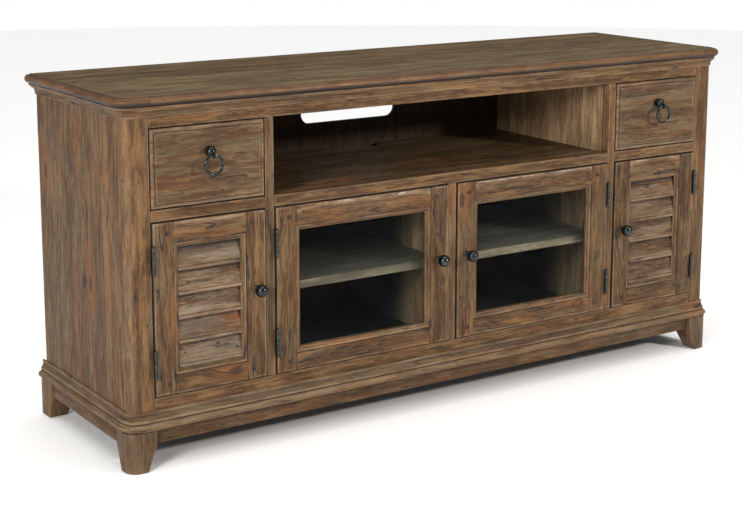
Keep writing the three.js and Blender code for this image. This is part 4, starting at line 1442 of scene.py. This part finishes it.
class CONSOLE_OT_louvred_doors(Operator):
    """Louvred doors: frame, overlapping slats with a bead, backing and pegs"""
    bl_idname = "console.louvred_doors"
    bl_label = "Louvred doors"

    BEAD = 0.004

    def execute(self, context):
        for side in SIDES:
            door = door_of("louvre_door", side)
            moods = {"rail_top": (0.2, 0.1, 0.2), "stile_left": (0.1, -0.2, 0.5)}
            door_frame(door, moods, 1.6)
            pegs(door)
            self.slats(door)
        return {"FINISHED"}

    def slats(self, door):
        """Slats that lap over each other, each with a bead along its lower edge, on a thin backing"""
        x0, x1, z0, z1 = window_of(door)
        x0, x1, z0, z1 = x0 + 0.0003, x1 - 0.0003, z0 + 0.0003, z1 - 0.0003
        body = f"louvre_door_{door.side}"
        node = f"louvre_panel_{door.side}"
        count = sizes().slats
        pitch = (z1 - z0) / count
        for k in range(count):
            low = z1 - (k + 1) * pitch
            high = min(low + pitch + 0.004, z1)
            bead = [(FACE + p, q, 0.45 + 0.35 * (q > low + self.BEAD))
                    for p, q in arc((0.003, low + self.BEAD), self.BEAD, 112, 262, 9)]
            # Negative levels paint shadow in the lap under each slat and under its bead
            section = [
                (FACE + 0.0122, high, 0), (FACE + 0.0110, high, -1), (FACE + 0.0101, high - 0.006, -0.8),
                (FACE + 0.0088, high - 0.013, 0), (FACE + 0.0064, (low + high) / 2 + 0.004, 0.05),
                (FACE + 0.0030, low + 0.0128, 0.35), (FACE + 0.0021, low + 0.0102, 0.8),
                (FACE + 0.0022, low + 0.0094, 0.8), (FACE + 0.0031, low + 0.0086, -0.9), *bead,
                (FACE + 0.0040, low + 0.0001, -0.8), (FACE + 0.0106, low + 0.0001, -1),
            ]
            chance = random.Random(k + 7 * count * (door.side == "left"))
            grey = 0.5 if door.side == "left" else -0.6
            tone = (chance.uniform(-0.6, 0.5) + grey * 0.8, -0.6, grey)
            board = Board(f"slat_{k + 1}_{door.side}", "xz", tone)
            rings = [[board.point((x, y, z), wear) for y, z, wear in section] for x in spread(x0, x1, 0.012)]
            board.skin(rings)
            board.finish(slat_wood(), body, (node,), sharp=32)
        # The backing behind the slats takes the dark inner wood: painted shade
        plank(f"louvre_backing_{door.side}", (x0, x1, z0, z1), "zx", FACE + 0.0124, FACE + 0.0145, "xz",
              inner_wood_painted_shade(), body, (node,), ease=0.0003)


class CONSOLE_OT_glazed_doors(Operator):
    """Glazed doors: frame, pane, glazing stops and pegs"""
    bl_idname = "console.glazed_doors"
    bl_label = "Glazed doors"

    KNOT_LENGTH, KNOT_HEIGHT, KNOT_LEAN = 0.0375, 0.019, 0.0095
    KNOT_FROM_HINGE, KNOT_ABOVE_EDGE = 0.087, 0.028
    REBATE = 0.0068

    def execute(self, context):
        moods = {
            "left": {"rail_top": (-0.3, 1.0, 0.0), "rail_bottom": (0.2, 0.9, 0.0),
                     "stile_left": (0.1, 0.0, 0.3)},
            "right": {"rail_top": (0.1, 0.2, 0.4), "rail_bottom": (0.0, 0.3, 0.5)},
        }
        for side in SIDES:
            door = door_of("glass_door", side)
            door_frame(door, moods[side], 2.2 if side == "left" else 1.6)
            pegs(door)
            self.stops(door)
            if side == "right":
                self.knot(door)
            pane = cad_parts[f"glass_pane_{side}"]
            for place in pane.material_slots:
                place.material = glass()
        return {"FINISHED"}

    def knot(self, door):
        """A sound red knot with a dark crescent, flush in the bottom rail"""
        b = door.box
        x, z = b.x1 - self.KNOT_FROM_HINGE, b.z0 + self.KNOT_ABOVE_EDGE
        board = Board(f"{door.kind}_knot_{door.side}", "xz", (0.3, 1.0, -0.5))
        rings = []
        for reach in (1.0, 0.94, 0.78, 0.6, 0.42, 0.25, 0.1):
            ring = []
            for k in range(32):
                a = 2 * math.pi * k / 32
                bulge = 1 + 0.18 * noise.noise(Vector((math.cos(a) * 1.3, math.sin(a) * 1.3, 4)))
                p = reach * bulge * self.KNOT_LENGTH / 2 * math.cos(a)
                q = reach * bulge * self.KNOT_HEIGHT / 2 * math.sin(a)
                q += self.KNOT_LEAN * reach * math.cos(a) * 0.4
                dark = -1.0 if reach > 0.9 and 0.3 < a < 3.4 else -0.5 if reach > 0.9 else 0.0
                lift = 0.0 if reach == 1.0 else 0.00025
                grain = (a * 0.012, reach * bulge * 0.02, 0)
                ring.append(board.point((x + p, b.y0 + 0.0001 - lift, z + q), dark, grain))
            rings.append(ring)
        board.skin(rings)
        board.finish(knot_wood(), f"glass_door_{door.side}")

    def stops(self, door):
        """Mitred strips that hold the pane from behind"""
        x0, x1, z0, z1 = window_of(door)
        pane = box_of(f"glass_pane_{door.side}")
        rear = door.box.y1
        reach = 0.0066
        section = [
            (0.0, rear - 0.0002, 0), (0.0, pane.y1 + 0.0001, 0), (reach, pane.y1 + 0.0001, 0),
            (reach + 0.0004, pane.y1 + 0.0008, 0.6), (reach * 0.6, rear - 0.0006, 0.6),
            (reach * 0.5, rear - 0.0002, 0.3),
        ]
        x0, x1 = x0 - self.REBATE, x1 + self.REBATE
        z0, z1 = z0 - self.REBATE, z1 + self.REBATE
        lines = (
            ("left", "z", x0, 1, (z0, z1)),
            ("right", "z", x1, -1, (z0, z1)),
            ("top", "x", z1, -1, (x0, x1)),
            ("bottom", "x", z0, 1, (x0, x1)),
        )
        for label, along, edge, inward, ends in lines:
            board = Board(f"glazing_stop_{label}_{door.side}", "zx" if along == "z" else "xz")
            mitred_strip(board, section, along, edge, inward, *ends)
            board.finish(front_wood(), f"glass_door_{door.side}", sharp=30)


class CONSOLE_OT_knobs(Operator):
    """Ball knobs on a small rosette"""
    bl_idname = "console.knobs"
    bl_label = "Knobs"

    BALL = 0.014

    def execute(self, context):
        for kind in DOOR_KINDS:
            for side in SIDES:
                node = f"{kind}_knob_{side}"
                b = box_of(node)
                length = b.y1 - b.y0
                foot = [(0, 0), (0.0078, 0), (0.0082, 0.0005), (0.0081, 0.0012), (0.0070, 0.0019),
                        (0.0058, 0.0024), (0.0047, 0.0034), (0.0043, 0.0050), (0.0045, 0.0072)]
                ball = arc((0, length - self.BALL), self.BALL, -68, 90, 22)
                piece = Board(f"{kind}_ball_{side}")
                centre = ((b.x0 + b.x1) / 2, b.y1, (b.z0 + b.z1) / 2)
                lathe(piece, foot + ball, centre, "-y", 48)
                piece.finish(iron(), f"{kind}_{side}", (node,), sharp=50)
        return {"FINISHED"}


class CONSOLE_OT_hinges(Operator):
    """Butt hinges with knuckles, ball tips, and a leaf on the door and on the frame"""
    bl_idname = "console.hinges"
    bl_label = "Hinges"

    BARREL = 0.004
    LEAF = 0.00055
    GROOVE = 0.0005

    def execute(self, context):
        for kind in DOOR_KINDS:
            for side in SIDES:
                for level in ("upper", "lower"):
                    self.hinge(kind, side, level)
        return {"FINISHED"}

    def hinge(self, kind, side, level):
        """Every second knuckle rides with the door; the rest and the tips stay on the frame"""
        node = f"{kind}_hinge_{level}_{side}"
        b = box_of(node)
        sign = mirror_sign(side)
        x, y = (b.x0 + b.x1) / 2, b.y0 + self.BARREL
        half = (b.z1 - b.z0) / 2 - 0.0016
        middle = (b.z0 + b.z1) / 2
        moving = Board(f"{kind}_leaf_{level}_{side}")
        fixed = Board(f"{kind}_frame_leaf_{level}_{side}")
        count = sizes().knuckles
        length = 2 * half / count
        r = self.BARREL
        for k in range(count):
            low = -half + k * length
            profile = [(0, low + 0.0001), (r - self.GROOVE, low + 0.0001), (r, low + 0.0006),
                       (r, low + length - 0.0006), (r - self.GROOVE, low + length - 0.0001),
                       (0, low + length - 0.0001)]
            lathe(fixed if k % 2 == 0 else moving, profile, (x, y, middle), "z", 24)
        for way in (1, -1):
            tip = [(0, half - 0.0002), (r * 0.55, half - 0.0002), (r * 0.5, half + 0.0003),
                   (r * 0.62, half + 0.0009), (r * 0.42, half + 0.0014), (0, half + 0.0016)]
            lathe(fixed, [(radius, way * height) for radius, height in tip], (x, y, middle), "z", 20)
        for piece, place in ((moving, -1), (fixed, 1)):
            inner = x + sign * place * 0.00030
            outer = inner + sign * place * self.LEAF
            rear = FACE + 0.014
            outline = rounded(y, rear, middle - half + 0.001, middle + half - 0.001, 0.001)
            centre = inner + (outer - inner) / 2
            slab(piece, outline, "yz", [(0.0001, inner, 0), (0, centre, 0), (0.0001, outer, 0)])
        moving.finish(iron(), f"{kind}_{side}", (node,), sharp=40)
        fixed.finish(iron(), "carcass", sharp=40)


class CONSOLE_OT_shelf_pins(Operator):
    """Shelf pins under each shelf, and rows of holes for them"""
    bl_idname = "console.shelf_pins"
    bl_label = "Shelf pins"

    PIN = 0.0025
    ROWS = (0.075, 0.355)

    def execute(self, context):
        pins = Board("shelf_pins")
        holes = Board("shelf_pin_holes")
        for side in SIDES:
            for kind in ("centre_shelf", "side_shelf"):
                b = box_of(f"{kind}_{side}")
                for wall, way in ((b.x0 - 0.0008, 1), (b.x1 + 0.0008, -1)):
                    for depth in self.ROWS:
                        y = FACE + depth
                        stem = [(0, -0.004), (self.PIN, -0.004), (self.PIN, 0.0012), (0.0038, 0.0014),
                                (0.0038, 0.0022), (self.PIN, 0.0024), (self.PIN, 0.0082), (0.002, 0.0088),
                                (0, 0.0088)]
                        axis = "x" if way > 0 else "-x"
                        lathe(pins, stem, (wall, y, b.z0 - 0.0039), axis, 16)
                        for k in range(-4, 5):
                            if k == 0:
                                continue
                            z = b.z0 - 0.0039 + k * sizes().pin_pitch
                            # Each hole is a dark disc set into the wall: the dark inside of the hole is
                            # painted shade
                            rim = [(0, -0.002), (0.0026, -0.002), (0.0026, 0.00008), (0, 0.00008)]
                            lathe(holes, rim, (wall, y, z), axis, 12)
        pins.finish(iron(), "carcass")
        holes.finish(peg_gap_and_hole_shade(), "carcass")
        return {"FINISHED"}


# ---------------------------------------------------------------- stage


class CONSOLE_OT_stage(Operator):
    """Pale floor, soft studio light and the camera"""
    bl_idname = "console.stage"
    bl_label = "Stage"

    EYE = (-2.126, -3.079, 1.233)
    YAW, PITCH, ROLL = 0.5856, -0.1865, -0.001
    LENS, SHIFT_X, SHIFT_Y = 77.0, 0.0, -0.12
    LAMPS = (
        ("key", (1.75, -3.15, 1.75), (0.1, -0.2, 0.40), 0.30, 86, (1.0, 0.955, 0.90)),
        ("left_fill", (-3.3, -2.0, 1.7), (-0.2, 0.0, 0.45), 0.9, 96, (1.0, 0.975, 0.94)),
    )
    SUNS = (
        ("overhead", (0, 0, 1), 2.35, 75),
        ("rear_fill", (-1.0, 0.75, 0.40), 0.28, 60),
    )
    AMBIENT = 0.20
    FLOOR_RADIUS = 9

    def execute(self, context):
        self.floor()
        self.lamps()
        self.world(context)
        self.camera(context)
        return {"FINISHED"}

    def floor(self):
        """A wide pale disc"""
        board = Board("floor")
        ring = [board.point((*spot, 0)) for spot in arc((0, 0), self.FLOOR_RADIUS, 0, 360, 96)[:-1]]
        board.bm.faces.new(ring)
        mesh = bpy.data.meshes.new("floor")
        board.bm.to_mesh(mesh)
        made = bpy.data.objects.new("floor", mesh)
        bpy.context.scene.collection.objects.link(made)
        material = bpy.data.materials.new("pale_floor")
        material.use_nodes = True
        g = Graph(material.node_tree)
        bsdf = material.node_tree.nodes["Principled BSDF"]
        place = g.add("TexCoord").outputs["Object"]
        mottle = g.cloud(g.scaled(place, 3, 3, 3), 3.0)
        tint = tuple(colours().floor)
        g.feed(bsdf.inputs["Base Color"], g.mix(mottle, tuple(0.985 * part for part in tint), tint))
        bsdf.inputs["Roughness"].default_value = 0.75
        bsdf.inputs["Specular IOR Level"].default_value = 0.2
        mesh.materials.append(material)

    def lamps(self):
        """Area lamps aimed at a spot, and suns that shine from a direction"""
        for name, place, target, size, power, tint in self.LAMPS:
            light = bpy.data.lights.new(name, "AREA")
            light.shape = "DISK" if name == "key" else "SQUARE"
            light.size = size
            light.energy = power
            light.color = tint
            made = bpy.data.objects.new(name, light)
            made.location = place
            made.rotation_euler = (Vector(target) - Vector(place)).to_track_quat("-Z", "Y").to_euler()
            bpy.context.scene.collection.objects.link(made)
        for name, source, strength, spread_angle in self.SUNS:
            light = bpy.data.lights.new(name, "SUN")
            light.energy = strength
            light.angle = math.radians(spread_angle)
            made = bpy.data.objects.new(name, light)
            made.rotation_euler = Vector(source).to_track_quat("Z", "Y").to_euler()
            bpy.context.scene.collection.objects.link(made)

    def world(self, context):
        """White behind the console, and a weaker white as the light it gives"""
        world = bpy.data.worlds.new("studio")
        world.use_nodes = True
        g = Graph(world.node_tree)
        seen = g.add("LightPath").outputs["Is Camera Ray"]
        background = world.node_tree.nodes["Background"]
        background.inputs["Color"].default_value = (1, 1, 1, 1)
        g.feed(background.inputs["Strength"], g.between(seen, 0.0, 1.0, self.AMBIENT, 1.0))
        context.scene.world = world

    def camera(self, context):
        """A long lens turned to the right and a little down"""
        lens = bpy.data.cameras.new("camera")
        lens.lens = self.LENS
        lens.sensor_width = 36
        lens.shift_x, lens.shift_y = self.SHIFT_X, self.SHIFT_Y
        lens.clip_end = 60
        made = bpy.data.objects.new("camera", lens)
        made.location = self.EYE
        made.rotation_euler = Euler((math.pi / 2 + self.PITCH, self.ROLL, -self.YAW), "XYZ")
        context.scene.collection.objects.link(made)
        context.scene.camera = made
        context.scene.view_settings.view_transform = "Standard"


class CONSOLE_PT_panel(Panel):
    """Lists the steps that build the console"""
    bl_idname = "CONSOLE_PT_panel"
    bl_label = "Media console"
    bl_space_type = "VIEW_3D"
    bl_region_type = "UI"
    bl_category = "Console"

    def draw(self, context):
        for owner, group in ((context.scene.console_sizes, ConsoleSizes),
                             (context.scene.console_colours, ConsoleColours)):
            box = self.layout.box()
            for name in group.__annotations__:
                box.prop(owner, name)
        for step in STEPS:
            self.layout.operator(step.bl_idname)


STEPS = (
    CONSOLE_OT_stage,
    CONSOLE_OT_top,
    CONSOLE_OT_mouldings,
    CONSOLE_OT_sides,
    CONSOLE_OT_face_frame,
    CONSOLE_OT_inside,
    CONSOLE_OT_back,
    CONSOLE_OT_feet,
    CONSOLE_OT_drawers,
    CONSOLE_OT_pulls,
    CONSOLE_OT_louvred_doors,
    CONSOLE_OT_glazed_doors,
    CONSOLE_OT_knobs,
    CONSOLE_OT_hinges,
    CONSOLE_OT_shelf_pins,
)
CLASSES = (ConsoleSizes, ConsoleColours, *STEPS, CONSOLE_PT_panel)


def register():
    for cls in CLASSES:
        bpy.utils.register_class(cls)
    bpy.types.Scene.console_sizes = PointerProperty(type=ConsoleSizes)
    bpy.types.Scene.console_colours = PointerProperty(type=ConsoleColours)


def unregister():
    del bpy.types.Scene.console_colours
    del bpy.types.Scene.console_sizes
    for cls in reversed(CLASSES):
        bpy.utils.unregister_class(cls)


def main():
    register()
    for step in STEPS:
        area, name = step.bl_idname.split(".")
        getattr(getattr(bpy.ops, area), name)()


if __name__ == "__main__":
    main()
